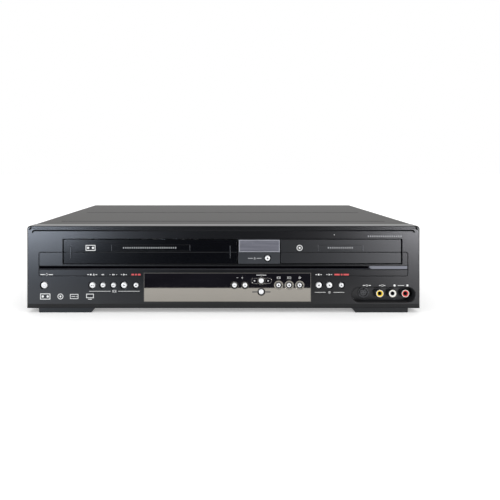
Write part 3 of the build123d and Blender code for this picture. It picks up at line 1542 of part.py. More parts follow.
def parts():
    """Every node's name and its shape."""
    made = {
        "front_panel": front_panel(),
        "centre_panel": centre_panel(),
        "sensor_window": sensor_window(),
        "display_window": display_window(),
        "trim_strip": trim_strip(),
        "top_cover": top_cover(),
        "bottom_chassis": bottom_chassis(),
        "rear_panel": rear_panel(),
        "feet": feet(),
        "screws": screws(),
        "cassette_flap": cassette_flap(),
        "front_board": front_board(),
        "display_module": display_module(),
        "video_jack": front_phono(0),
        "audio_left_jack": front_phono(1),
        "audio_right_jack": front_phono(2),
        "s_video_socket": s_video_socket(),
        "drive_housing": drive_housing(),
        "disc_tray": disc_tray(),
        "tray_front": tray_front(),
        "loading_gear": loading_gear(),
        "turntable": turntable(),
        "traverse": traverse(),
        "pickup_sled": pickup_sled(),
        "disc_clamp": disc_clamp(),
        "hard_disk_drive": hard_disk_drive(),
        "deck_chassis": deck_chassis(),
        "carriage_frame": carriage_frame(),
        "carriage_slider": carriage_slider(),
        "cassette_basket": cassette_basket(),
        "supply_reel_table": reel_table(0),
        "takeup_reel_table": reel_table(1),
        "drum_base": drum_base(),
        "head_drum": head_drum(),
        "capstan_flywheel": capstan_flywheel(),
        "main_board": main_board(),
        "power_board": power_board(),
        "fan_frame": fan_frame(),
        "fan_rotor": fan_rotor(),
        "scart_sockets": scart_sockets(),
        "rear_jacks": rear_jacks(),
        "power_inlet": power_inlet(),
        "aerial_sockets": aerial_sockets(),
    }
    for name, place in KEYS.items():
        made[name] = key(*place)
    return made


os.makedirs("parts", exist_ok=True)
for node, shape in parts().items():
    export_step(shape, f"parts/{node}.step")
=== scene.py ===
"""The look of a full-width recorder for tape, disc and hard disk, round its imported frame.

Metres, +X to the right seen from the front, +Y to the back, +Z up. Sizes below are in millimetres
unless a comment says otherwise, and mm() turns them into metres.
"""

import json
import logging
import math
from dataclasses import dataclass, field
from enum import Enum

import bmesh
import bpy
from bpy.types import Material, Mesh, Node, NodeOutputs, NodeSocket, NodeTree, Object
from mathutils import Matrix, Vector

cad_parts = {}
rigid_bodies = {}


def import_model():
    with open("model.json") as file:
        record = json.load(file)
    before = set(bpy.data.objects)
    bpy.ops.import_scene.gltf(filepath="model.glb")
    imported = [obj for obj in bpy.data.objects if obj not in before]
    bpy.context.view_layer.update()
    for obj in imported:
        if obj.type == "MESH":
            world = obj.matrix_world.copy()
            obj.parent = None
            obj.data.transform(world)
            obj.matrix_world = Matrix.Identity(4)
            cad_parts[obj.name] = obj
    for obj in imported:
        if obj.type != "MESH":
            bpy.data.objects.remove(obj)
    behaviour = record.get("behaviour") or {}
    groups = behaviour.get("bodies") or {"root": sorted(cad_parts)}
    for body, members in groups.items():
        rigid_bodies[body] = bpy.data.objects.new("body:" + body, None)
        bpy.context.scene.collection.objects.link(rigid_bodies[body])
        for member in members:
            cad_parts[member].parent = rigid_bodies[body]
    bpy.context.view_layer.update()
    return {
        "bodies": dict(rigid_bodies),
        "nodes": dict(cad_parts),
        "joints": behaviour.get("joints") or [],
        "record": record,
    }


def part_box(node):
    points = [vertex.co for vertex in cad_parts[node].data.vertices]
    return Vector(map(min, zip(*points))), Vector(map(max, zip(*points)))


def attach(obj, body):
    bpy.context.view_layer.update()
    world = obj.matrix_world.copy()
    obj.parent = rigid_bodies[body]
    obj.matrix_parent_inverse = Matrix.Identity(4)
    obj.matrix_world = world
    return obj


LOG = logging.getLogger("recorder")

Point = tuple[float, float]             # X and Z, seen from the front
Place = tuple[float, float, float]
FRONT_Y = -174.25                       # the front face
MOVING_FACE_Y = FRONT_Y + 0.3           # the faces of the flap and of the tray's front
REAR_Y = 165.75                         # the back of the rear panel


def mm(value: float) -> float:
    """Millimetres as metres."""
    return value * 0.001


def linear(code: str) -> tuple[float, float, float, float]:
    """An sRGB hex colour as linear light.

    Args:
        code: six hex digits.

    Returns:
        Red, green, blue and a full alpha.
    """
    parts = [int(code[i:i + 2], 16) / 255 for i in (0, 2, 4)]
    light = [p / 12.92 if p <= 0.04045 else ((p + 0.055) / 1.055) ** 2.4 for p in parts]
    return (*light, 1.0)


class Nodes:
    """A node tree, and its shader where it is a material's."""

    def __init__(self, tree: NodeTree) -> None:
        """Notes the tree and its shader."""
        self.tree = tree
        self.shader = tree.nodes.get("Principled BSDF")

    def feed(self, node: Node, inputs: dict) -> None:
        """Gives a node's inputs their values and links.

        Args:
            node: the node.
            inputs: input name or number, and its value, or the node or output that feeds it.
        """
        for key, value in inputs.items():
            if isinstance(value, Node):
                value = next(output for output in value.outputs if output.enabled)
            if isinstance(value, NodeSocket):
                self.tree.links.new(value, node.inputs[key])
            else:
                node.inputs[key].default_value = value

    def add(self, kind: str, inputs: dict | None = None, **settings) -> Node:
        """Adds one node, with its settings, its values and its links.

        Args:
            kind: the node's Blender type.
            inputs: what feeds its inputs.
            **settings: the node's own properties.

        Returns:
            The new node.
        """
        node = self.tree.nodes.new(kind)
        for name, value in settings.items():
            setattr(node, name, value)
        self.feed(node, inputs or {})
        return node

    def overlay(self, mask: Node, others: dict) -> None:
        """Lays other values over the shader's own where a mask is 1.

        Args:
            mask: 0 where the shader keeps its values, and 1 where it takes the others.
            others: input name, and its colour or value under the mask.
        """
        for name, other in others.items():
            socket = self.shader.inputs[name]
            kept = socket.links[0].from_socket if socket.is_linked else socket.default_value
            if isinstance(other, tuple):
                mixed = self.add("ShaderNodeMix", {"Factor": mask, "A": kept, "B": other}, data_type="RGBA")
            else:
                mixed = self.add("ShaderNodeMapRange", {"Value": mask, "To Min": kept, "To Max": other})
            self.feed(self.shader, {name: mixed})

    def point(self) -> NodeSocket:
        """The point on the object, in metres."""
        return self.add("ShaderNodeTexCoord").outputs["Object"]

    def place(self) -> NodeOutputs:
        """X, Y and Z of the point on the object."""
        return self.add("ShaderNodeSeparateXYZ", {"Vector": self.point()}).outputs

    def outside(self, value: NodeSocket, low: float, high: float) -> Node:
        """A mask of what lies outside two limits.

        Args:
            value: a position along one axis.
            low: the lower limit.
            high: the upper limit.

        Returns:
            The node that gives 0 between the limits and 1 elsewhere.
        """
        above = self.add("ShaderNodeMath", {0: value, 1: mm(low)}, operation="GREATER_THAN")
        below = self.add("ShaderNodeMath", {0: value, 1: mm(high)}, operation="LESS_THAN")
        between = self.add("ShaderNodeMath", {0: above, 1: below}, operation="MULTIPLY")
        return self.add("ShaderNodeMath", {0: 1.0, 1: between}, operation="SUBTRACT")

    def from_axis(self, across: Place, centre: Place) -> Node:
        """The distance from an axis through centre, where across is 0 along the axis and 1 across it."""
        flat = self.add("ShaderNodeVectorMath", {0: self.point(), 1: across}, operation="MULTIPLY")
        return self.add("ShaderNodeVectorMath", {0: flat, 1: tuple(map(mm, centre))}, operation="DISTANCE")


def new_object(name: str, mesh: Mesh, material: Material | None = None) -> Object:
    """An object at the origin that shows a mesh, linked to the scene.

    Args:
        name: the object's name.
        mesh: its mesh.
        material: its one material, or None to keep the mesh's own.

    Returns:
        The object.
    """
    made = bpy.data.objects.new(name, mesh)
    bpy.context.scene.collection.objects.link(made)
    if material is not None:
        mesh.materials.clear()
        mesh.materials.append(material)
    return made


def seen_from_front(node: str) -> tuple[float, float, float, float]:
    """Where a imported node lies, seen from the front.

    Args:
        node: its name.

    Returns:
        X and Z of its middle, its width and its height.
    """
    low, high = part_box(node)
    x, z = ((low[axis] + high[axis]) * 500 for axis in (0, 2))
    width, height = ((high[axis] - low[axis]) * 1000 for axis in (0, 2))
    return x, z, width, height


class Sign(Enum):
    """Plain transport and device signs."""

    PLAY = "play"
    STOP = "stop"
    RECORD = "record"
    REWIND = "rewind"
    FORWARD = "forward"
    EJECT = "eject"
    STOP_EJECT = "stop_eject"
    POWER = "power"
    MINUS = "minus"
    PLUS = "plus"
    DOT = "dot"
    TAPE = "tape"
    DISC = "disc"
    DRIVE = "drive"
    SCREEN = "screen"
    PINS = "pins"


class LightUse(Enum):
    """Whether a lamp lights surfaces evenly or only shows in their gloss."""

    FILL = "fill"
    SHEEN = "sheen"


# Kinds of finish

@dataclass(frozen=True)
class Finish:
    """A surface: its real material, how it was made, and what that gives the eye."""

    name: str
    colour: str
    roughness: float
    metallic: float = 0.0
    ior: float = 1.5            # typical of plastics, lacquers and glass
    specular: float = 0.5
    coat: float = 0.0
    coat_roughness: float = 0.08
    grain: float = 0.8          # size of the grain
    depth: float = 0.01         # depth of the grain
    mottle: float = 0.06        # how far the colour wanders, as a share
    gloss_spread: float = 0.04  # how far the roughness wanders
    edge: float = 0.25          # radius that catches the light at edges
    blotch: float = 30.0        # size of the patches in which colour and gloss wander
    stretch: Place = (1.0, 1.0, 1.0)

    def material(self) -> Material:
        """The finish as a node material, made once.

        Returns:
            The material.
        """
        made = bpy.data.materials.get(self.name)
        if made is None:
            made = bpy.data.materials.new(self.name)
            made.use_nodes = True
            nodes = Nodes(made.node_tree)
            nodes.feed(nodes.shader, {
                "Base Color": linear(self.colour), "Roughness": self.roughness, "Metallic": self.metallic,
                "IOR": self.ior, "Specular IOR Level": self.specular, "Coat Weight": self.coat,
                "Coat Roughness": self.coat_roughness,
            })
            self.dress(nodes)
        return made

    def pattern(self, nodes: Nodes, size: float, detail: float = 2.0) -> Node:
        """Noise from 0 to 1 whose blotches are about size across, stretched along the grain."""
        place = nodes.add("ShaderNodeMapping", {"Vector": nodes.point(), "Scale": self.stretch})
        return nodes.add("ShaderNodeTexNoise", {"Vector": place, "Scale": 1 / mm(size), "Detail": detail})

    def surface(self, nodes: Nodes, height: Node) -> None:
        """Bump over edges that are slightly round.

        Args:
            nodes: the material's nodes.
            height: the height, from 0 to 1.
        """
        round_edge = nodes.add("ShaderNodeBevel", {"Radius": mm(self.edge)}, samples=6)
        bump = nodes.add(
            "ShaderNodeBump",
            {"Height": height, "Distance": mm(self.depth), "Strength": 1.0, "Normal": round_edge},
        )
        nodes.feed(nodes.shader, {"Normal": bump})

    def dress(self, nodes: Nodes) -> None:
        """Lets colour and gloss wander a little and adds the grain.

        Args:
            nodes: the material's nodes.
        """
        base = linear(self.colour)[:3]
        darker = (*(part * (1 - self.mottle) for part in base), 1.0)
        lighter = (*(min(1.0, part * (1 + self.mottle)) for part in base), 1.0)
        blotches = self.pattern(nodes, self.blotch, 3.0)
        tone = nodes.add(
            "ShaderNodeMix", {"Factor": blotches, "A": darker, "B": lighter}, data_type="RGBA"
        )
        gloss = nodes.add(
            "ShaderNodeMapRange",
            {"Value": blotches, "To Min": max(0.0, self.roughness - self.gloss_spread),
             "To Max": self.roughness + self.gloss_spread},
        )
        nodes.feed(nodes.shader, {"Base Color": tone, "Roughness": gloss})
        self.surface(nodes, self.pattern(nodes, self.grain))


@dataclass(frozen=True)
class MouldedFront(Finish):
    """Plastic of the front, left rough by the mould in its grooves and hollows, with painted shade that
    darkens them.
    """

    deep_start: float = 0.3     # behind the front face
    # painted shade: the near-black colour of the grooves and hollows
    shade_in_hollows_colour: str = "030304"
    deep_roughness: float = 0.9
    skin_top: float = 93.9      # above it, and beyond the sides, the outer skin keeps its sheen
    skin_side: float = 216.4
    lip_top: float = 34.0       # below it the sheen reaches further in, over the pocket's lip
    lip_depth: float = 0.0
    pocket_floor: float = 13.6  # below lip_top, what lies deeper is smooth again

    def deep(self, nodes: Nodes) -> Node:
        """The mask of the grooves and hollows, which take the rough finish and the painted shade.

        Args:
            nodes: the material's nodes.

        Returns:
            The node that gives 1 in them, and 0 on the face and the outer skin.
        """
        place = nodes.place()
        low = nodes.add("ShaderNodeMath", {0: place["Z"], 1: mm(self.lip_top)}, operation="LESS_THAN")
        start = nodes.add(
            "ShaderNodeMath", {0: low, 1: mm(self.lip_depth), 2: mm(FRONT_Y + self.deep_start)},
            operation="MULTIPLY_ADD",
        )
        behind = nodes.add("ShaderNodeMath", {0: place["Y"], 1: start}, operation="GREATER_THAN")
        inmost = nodes.add(
            "ShaderNodeMath", {0: place["Y"], 1: mm(FRONT_Y + self.pocket_floor)}, operation="GREATER_THAN"
        )
        floor = nodes.add("ShaderNodeMath", {0: inmost, 1: low}, operation="MULTIPLY")
        mask = nodes.add("ShaderNodeMath", {0: behind, 1: floor}, operation="SUBTRACT", use_clamp=True)
        beside = nodes.add("ShaderNodeMath", {0: place["X"]}, operation="ABSOLUTE")
        for value, limit in ((place["Z"], self.skin_top), (beside, self.skin_side)):
            within = nodes.add("ShaderNodeMath", {0: value, 1: mm(limit)}, operation="LESS_THAN")
            mask = nodes.add("ShaderNodeMath", {0: mask, 1: within}, operation="MULTIPLY")
        return mask

    def dress(self, nodes: Nodes) -> None:
        """The satin finish on the face, and the rough one with painted shade in everything deeper.

        Args:
            nodes: the material's nodes.
        """
        super().dress(nodes)
        # painted shade: a near-black colour, with the rough finish, in the grooves and hollows
        rough = {"Base Color": linear(self.shade_in_hollows_colour), "Roughness": self.deep_roughness}
        nodes.overlay(self.deep(nodes), rough)


@dataclass(frozen=True)
class BandFinish(Finish):
    """A finish that holds between two levels, with rough edges or hollows outside them that take painted
    shade.
    """

    low: float = 0.0
    high: float = 100.0
    band_shade_colour: str = "050506"
    # painted shade outside the band
    outer_roughness: float = 0.8
    half_width: float = 500.0   # beyond it the finish holds at every level

    def dress(self, nodes: Nodes) -> None:
        """Splits colour, metal and gloss at the levels, and paints shade outside them.

        Args:
            nodes: the material's nodes.
        """
        super().dress(nodes)
        place = nodes.place()
        band = nodes.outside(place["Z"], self.low, self.high)
        beside = nodes.add("ShaderNodeMath", {0: place["X"]}, operation="ABSOLUTE")
        side = nodes.add("ShaderNodeMath", {0: beside, 1: mm(self.half_width)}, operation="GREATER_THAN")
        shaded_outside = nodes.add("ShaderNodeMath", {0: band, 1: side}, operation="SUBTRACT", use_clamp=True)
        # painted shade: outside the band, near black with a rough, non-metal finish
        outer = {"Base Color": linear(self.band_shade_colour), "Roughness": self.outer_roughness, "Metallic": 0.0}
        nodes.overlay(shaded_outside, outer)


@dataclass(frozen=True)
class RoundFinish(Finish):
    """Two finishes about an axis along Y: one inside a radius and one outside, as an insert in its barrel."""

    centres: tuple[Point, ...] = ((0.0, 0.0),)
    split: float = 3.55
    inner_colour: str = "FFFFFF"
    inner_metallic: float = 0.0
    inner_roughness: float = 0.25
    shade_start: float = 0.0    # behind the front face, beyond which all is black; 0 for never
    shade_colour: str = "040405"
    shade_roughness: float = 0.8

    def inside(self, nodes: Nodes) -> Node:
        """The mask of what lies within the radius of any centre.

        Args:
            nodes: the material's nodes.

        Returns:
            The node that gives 1 inside and 0 outside.
        """
        total = 0.0
        for x, z in self.centres:
            away = nodes.from_axis((1.0, 0.0, 1.0), (x, 0.0, z))
            near = nodes.add("ShaderNodeMath", {0: away, 1: mm(self.split)}, operation="LESS_THAN")
            total = nodes.add("ShaderNodeMath", {0: total, 1: near}, operation="MAXIMUM")
        return total

    def dress(self, nodes: Nodes) -> None:
        """Splits colour, metal and gloss at the radius, and paints shade on what lies deep.

        Args:
            nodes: the material's nodes.
        """
        insert = {
            "Base Color": linear(self.inner_colour), "Metallic": self.inner_metallic,
            "Roughness": self.inner_roughness,
        }
        nodes.overlay(self.inside(nodes), insert)
        if self.shade_start:
            start = mm(FRONT_Y + self.shade_start)
            deep = nodes.add("ShaderNodeMath", {0: nodes.place()["Y"], 1: start}, operation="GREATER_THAN")
            shade = {
                "Base Color": linear(self.shade_colour), "Metallic": 0.0, "Roughness": self.shade_roughness,
            }
            nodes.overlay(deep, shade)
        self.surface(nodes, self.pattern(nodes, self.grain))


@dataclass(frozen=True)
class BoardFinish(Finish):
    """A lacquered circuit board: tracks on the sheet, dark parts standing on it."""

    axis: str = "Z"             # across the sheet
    sheet_low: float = 13.9
    sheet_high: float = 15.7
    track_colour: str = "2F6B45"
    part_colour: str = "1B1B1D"
    track_grid: float = 9.6     # the pattern of joints that stands for the tracks
    track_width: float = 0.05   # as a share of the grid

    def dress(self, nodes: Nodes) -> None:
        """Colours the sheet with its tracks, and what stands on it darker.

        Args:
            nodes: the material's nodes.
        """
        sheet, track = linear(self.colour), linear(self.track_colour)
        tracks = nodes.add(
            "ShaderNodeTexBrick",
            {"Vector": nodes.point(), "Scale": 1 / mm(self.track_grid), "Color1": sheet, "Color2": sheet,
             "Mortar": track, "Mortar Size": self.track_width},
        )
        nodes.feed(nodes.shader, {"Base Color": tracks})
        off_sheet = nodes.outside(nodes.place()[self.axis], self.sheet_low, self.sheet_high)
        nodes.overlay(off_sheet, {"Base Color": linear(self.part_colour)})
        self.surface(nodes, self.pattern(nodes, self.grain))


@dataclass(frozen=True)
class TurnedFinish(Finish):
    """Metal turned on a lathe about an upright axis: fine rings that spread the highlight."""

    centre: Place = (0.0, 0.0, 0.0)
    ring: float = 0.8           # coarser than a real tool mark, so that it shows

    def dress(self, nodes: Nodes) -> None:
        """Rings about the axis in the bump.

        Args:
            nodes: the material's nodes.
        """
        away = nodes.add("ShaderNodeCombineXYZ", {"X": nodes.from_axis((1.0, 1.0, 0.0), self.centre)})
        rings = nodes.add("ShaderNodeTexNoise", {"Vector": away, "Scale": 1 / mm(self.ring)})
        self.surface(nodes, rings)


# The recorder's finishes

# Spark-eroded ABS: a deep blue-black with a soft sheen that spreads the light of the studio. The flap is
# smoother and blacker, and the tray's front a warmer, flatter grey. Painted shade darkens their hollows.
SATIN = {"specular": 0.36, "depth": 0.001, "grain": 0.9, "gloss_spread": 0.01}
FRONT_ABS = MouldedFront(
    "moulded_abs_satin_black", "08090C", 0.28, mottle=0.04, deep_start=0.15, lip_depth=0.65, **SATIN
)
FLAP_ABS = MouldedFront("moulded_abs_flap_black", "040509", 0.19, mottle=0.04, deep_start=0.55, **SATIN)
TRAY_FRONT_ABS = MouldedFront("moulded_abs_tray_black", "181A1D", 0.34, deep_start=0.55, **SATIN)
# ABS coloured charcoal, moulded: plainly greyer than the front beside it, with the same painted shade in its
# hollows.
CENTRE_ABS = MouldedFront("moulded_abs_charcoal", "2C2F34", 0.32, depth=0.002, grain=0.9, deep_start=0.4)
# Matt black ABS: the skids and sockets show only their shape, with no sheen.
SKID_ABS = Finish("moulded_abs_matt_black", "06080B", 0.5, specular=0.2, depth=0.004)
SOCKET_ABS = Finish("moulded_abs_socket", "0A0B0C", 0.5, depth=0.004)
DARK_ABS = Finish("moulded_abs_dark", "141416", 0.50, depth=0.012, grain=1.0)
TRAY_ABS = Finish("moulded_abs_tray_grey", "3A3B3E", 0.44, depth=0.008, grain=0.9)
# Painted highlight: a thin grey line that comes and goes, where an edge catches the light.
HIGHLIGHT_LINE = Finish("painted_highlight_line", "4A4D53", 0.3, depth=0.002, mottle=0.3, blotch=9.0)
# Smoked acrylic over a ribbed diffuser: cool grey with fine level streaks.
SENSOR_ACRYLIC = Finish(
    "smoked_acrylic", "6C6D77", 0.16, coat=0.6, grain=1.1, depth=0.03, mottle=0.55, blotch=3.0, edge=0.3,
    stretch=(0.05, 1.0, 1.0),
)
# Acrylic with a half-silvered back: it mirrors the pale floor and hides the display.
HALF_MIRROR = Finish(
    "half_silvered_acrylic", "95918A", 0.035, metallic=1.0, grain=24.0, depth=0.001, mottle=0.03,
    gloss_spread=0.01, edge=0.12,
)
# Acrylic metallised from behind in smoke grey, its edges sawn rough, with painted shade: it mirrors the dark
# in front and the pale floor at its right end.
GLOSS_STRIP = BandFinish(
    "smoke_metallised_acrylic", "74767E", 0.03, metallic=1.0, grain=30.0, depth=0.001, gloss_spread=0.0,
    edge=0.02, low=48.0, high=51.55,
)
# Painted highlights on the flame-polished and cut edges of the acrylic, which gather the light on the pane.
SENSOR_EDGE_HIGHLIGHT = Finish("painted_highlight_sensor_edge", "AEB0BA", 0.3, depth=0.002, mottle=0.25, blotch=14.0)
WINDOW_EDGE_HIGHLIGHT = Finish("painted_highlight_window_edge", "54514C", 0.4, depth=0.002, mottle=0.4, blotch=22.0)
# Stoved paint on folded steel: a dark warm grey with a fine even texture; painted shade darkens the beads.
COVER_PAINT = BandFinish(
    "stoved_textured_paint", "24221E", 0.50, specular=0.3, grain=1.0, depth=0.012, mottle=0.05,
    gloss_spread=0.0, low=95.45, high=120.0, band_shade_colour="0B0A09", outer_roughness=0.7, half_width=204.0,
)
# Zinc on rolled steel: cool grey, its spangle a faint cloud in colour and gloss.
ZINC_STEEL = Finish("zinc_plated_steel", "A2A4A2", 0.42, metallic=1.0, grain=7.0, depth=0.012, mottle=0.10)
# Tin on drawn steel: brighter and smoother than the zinc.
BRIGHT_STEEL = Finish("tinned_steel", "C2C3C1", 0.26, metallic=1.0, grain=5.0)
# Oil-blackened steel: dark, with a glint on the screw's head.
BLACK_SCREW = Finish("blackened_steel", "17181A", 0.34, metallic=0.7, depth=0.004)
# Zinc alloy, die cast: a pale grey skin with the mould's fine pebble.
CAST_ALLOY = Finish("die_cast_zinc_alloy", "A9AAAC", 0.42, metallic=1.0, grain=1.4, depth=0.03)
# Aluminium and steel turned on a lathe: the rings draw the highlight out.
DRUM_ALLOY = TurnedFinish("turned_drum_alloy", "B9BBBD", 0.2, metallic=1.0, centre=(-80.9, 57.0, 0.0))
CAPSTAN_STEEL = TurnedFinish(
    "turned_flywheel_steel", "A8A9AA", 0.24, metallic=1.0, centre=(-22.9, 36.0, 0.0)
)
# Acetal, moulded: milky white with a soft, even shine.
GEAR_ACETAL = Finish("moulded_acetal", "DEDCD2", 0.40, depth=0.004, mottle=0.03)
# Glass over a dark vacuum tube: almost black, with sharp reflections.
VACUUM_GLASS = Finish("display_tube_glass", "0B0D10", 0.05, coat=0.4, grain=20.0, depth=0.002)
# Screen and pad print: flat, opaque and a little duller than the plastic round it.
INK = {"depth": 0.002, "mottle": 0.03}
WHITE_INK = Finish("screen_print_white", "DDDEDD", 0.55, **INK)
GREY_INK = Finish("screen_print_grey", "9A9C9E", 0.55, **INK)
RED_INK = Finish("screen_print_red", "C9302F", 0.55, **INK)
DARK_INK = Finish("pad_print_black", "2A2B2D", 0.5, **INK)
# Plated trim and contacts: small sharp glints, the contacts in pale gold.
BRIGHT_TRIM = Finish(
    "bright_plated_trim", "D6D3CC", 0.12, metallic=1.0, grain=12.0, depth=0.002, edge=0.15
)
CONTACT_GOLD = Finish("plated_contact", "C8B478", 0.25, metallic=1.0, depth=0.002)
# Lacquered boards, epoxy glass in green and phenolic paper in brown: lines of track show through the lacquer.
BOARD = {"grain": 2.0, "depth": 0.02}
BOARD_GREEN = BoardFinish("epoxy_glass_board_green", "1E4A2E", 0.35, **BOARD)
BOARD_BROWN = BoardFinish("phenolic_paper_board_brown", "6B4A26", 0.5, track_colour="8A6A3A", **BOARD)
FRONT_BOARD = BoardFinish(
    "epoxy_glass_board_front", "1E4A2E", 0.35, axis="Y", sheet_low=FRONT_Y + 17.4,
    sheet_high=FRONT_Y + 19.2, **BOARD,
)

PHONO_LEVEL = 19.7
PHONO_TIP = 6.8             # behind the front face
PHONO_XS = (174.9, 189.2, 203.5)


def front_phono_finish(name: str, x: float, colour: str) -> RoundFinish:
    """A front phono socket: a coloured insert in a pale rim, and painted shade on the barrel behind."""
    return RoundFinish(
        name, "D5D2C6", 0.35, metallic=0.3, depth=0.002, edge=0.1, centres=((x, PHONO_LEVEL),),
        inner_colour=colour, shade_start=PHONO_TIP + 0.7,
    )


# Six nickelled barrels in one black moulding: bright rings on a dull block.
REAR_PHONO = RoundFinish(
    "rear_phono_block", "151517", 0.4, depth=0.006, split=5.02, inner_colour="C9C9C4", inner_metallic=1.0,
    inner_roughness=0.22, centres=tuple((x, z) for x in (40.0, 55.0) for z in (28.0, 43.0, 58.0)),
)

NODE_FINISHES: dict[str, Finish] = {
    "front_panel": FRONT_ABS, "centre_panel": CENTRE_ABS, "cassette_flap": FLAP_ABS,
    "tray_front": TRAY_FRONT_ABS, "sensor_window": SENSOR_ACRYLIC, "display_window": HALF_MIRROR,
    "trim_strip": GLOSS_STRIP, "top_cover": COVER_PAINT, "feet": SKID_ABS, "screws": BLACK_SCREW,
    "video_jack": front_phono_finish("phono_socket_yellow", PHONO_XS[0], "FFDB32"),
    "audio_left_jack": front_phono_finish("phono_socket_white", PHONO_XS[1], "F6F5F0"),
    "audio_right_jack": front_phono_finish("phono_socket_red", PHONO_XS[2], "F03A36"),
    "s_video_socket": SOCKET_ABS, "front_board": FRONT_BOARD, "display_module": VACUUM_GLASS,
    "disc_tray": TRAY_ABS, "capstan_flywheel": CAPSTAN_STEEL, "main_board": BOARD_GREEN,
    "power_board": BOARD_BROWN, "rear_jacks": REAR_PHONO, "aerial_sockets": BRIGHT_STEEL,
    **dict.fromkeys(("drum_base", "head_drum"), DRUM_ALLOY),
    **dict.fromkeys(("pickup_sled", "hard_disk_drive"), CAST_ALLOY),
    **dict.fromkeys(("loading_gear", "disc_clamp", "supply_reel_table", "takeup_reel_table"), GEAR_ACETAL),
    **dict.fromkeys(
        ("drive_housing", "turntable", "fan_frame", "fan_rotor", "scart_sockets", "power_inlet"), DARK_ABS
    ),
    **dict.fromkeys(
        ("bottom_chassis", "rear_panel", "traverse", "deck_chassis", "carriage_frame", "carriage_slider",
         "cassette_basket"),
        ZINC_STEEL,
    ),
}


# Printed marks

def circle_outline(x: float, z: float, radius: float, steps: int = 20) -> list[Point]:
    """Points round a circle."""
    turns = [2 * math.pi * i / steps for i in range(steps)]
    return [(x + radius * math.cos(turn), z + radius * math.sin(turn)) for turn in turns]


def box_outline(x: float, z: float, width: float, height: float) -> list[Point]:
    """The corners of a rectangle about its middle."""
    w, h = width / 2, height / 2
    return [(x - w, z - h), (x + w, z - h), (x + w, z + h), (x - w, z + h)]


def pill_outline(x: float, z: float, width: float, height: float, steps: int = 8) -> list[Point]:
    """Points round a rectangle with half-round ends.

    Args:
        x: its middle.
        z: its level.
        width: from end to end.
        height: twice the ends' radius.
        steps: the edges of each end.

    Returns:
        The points.
    """
    radius = height / 2
    points = []
    for side, start in ((1, -90), (-1, 90)):
        middle = x + side * (width / 2 - radius)
        for i in range(steps + 1):
            angle = math.radians(start + 180 * i / steps)
            points.append((middle + radius * math.cos(angle), z + radius * math.sin(angle)))
    return points


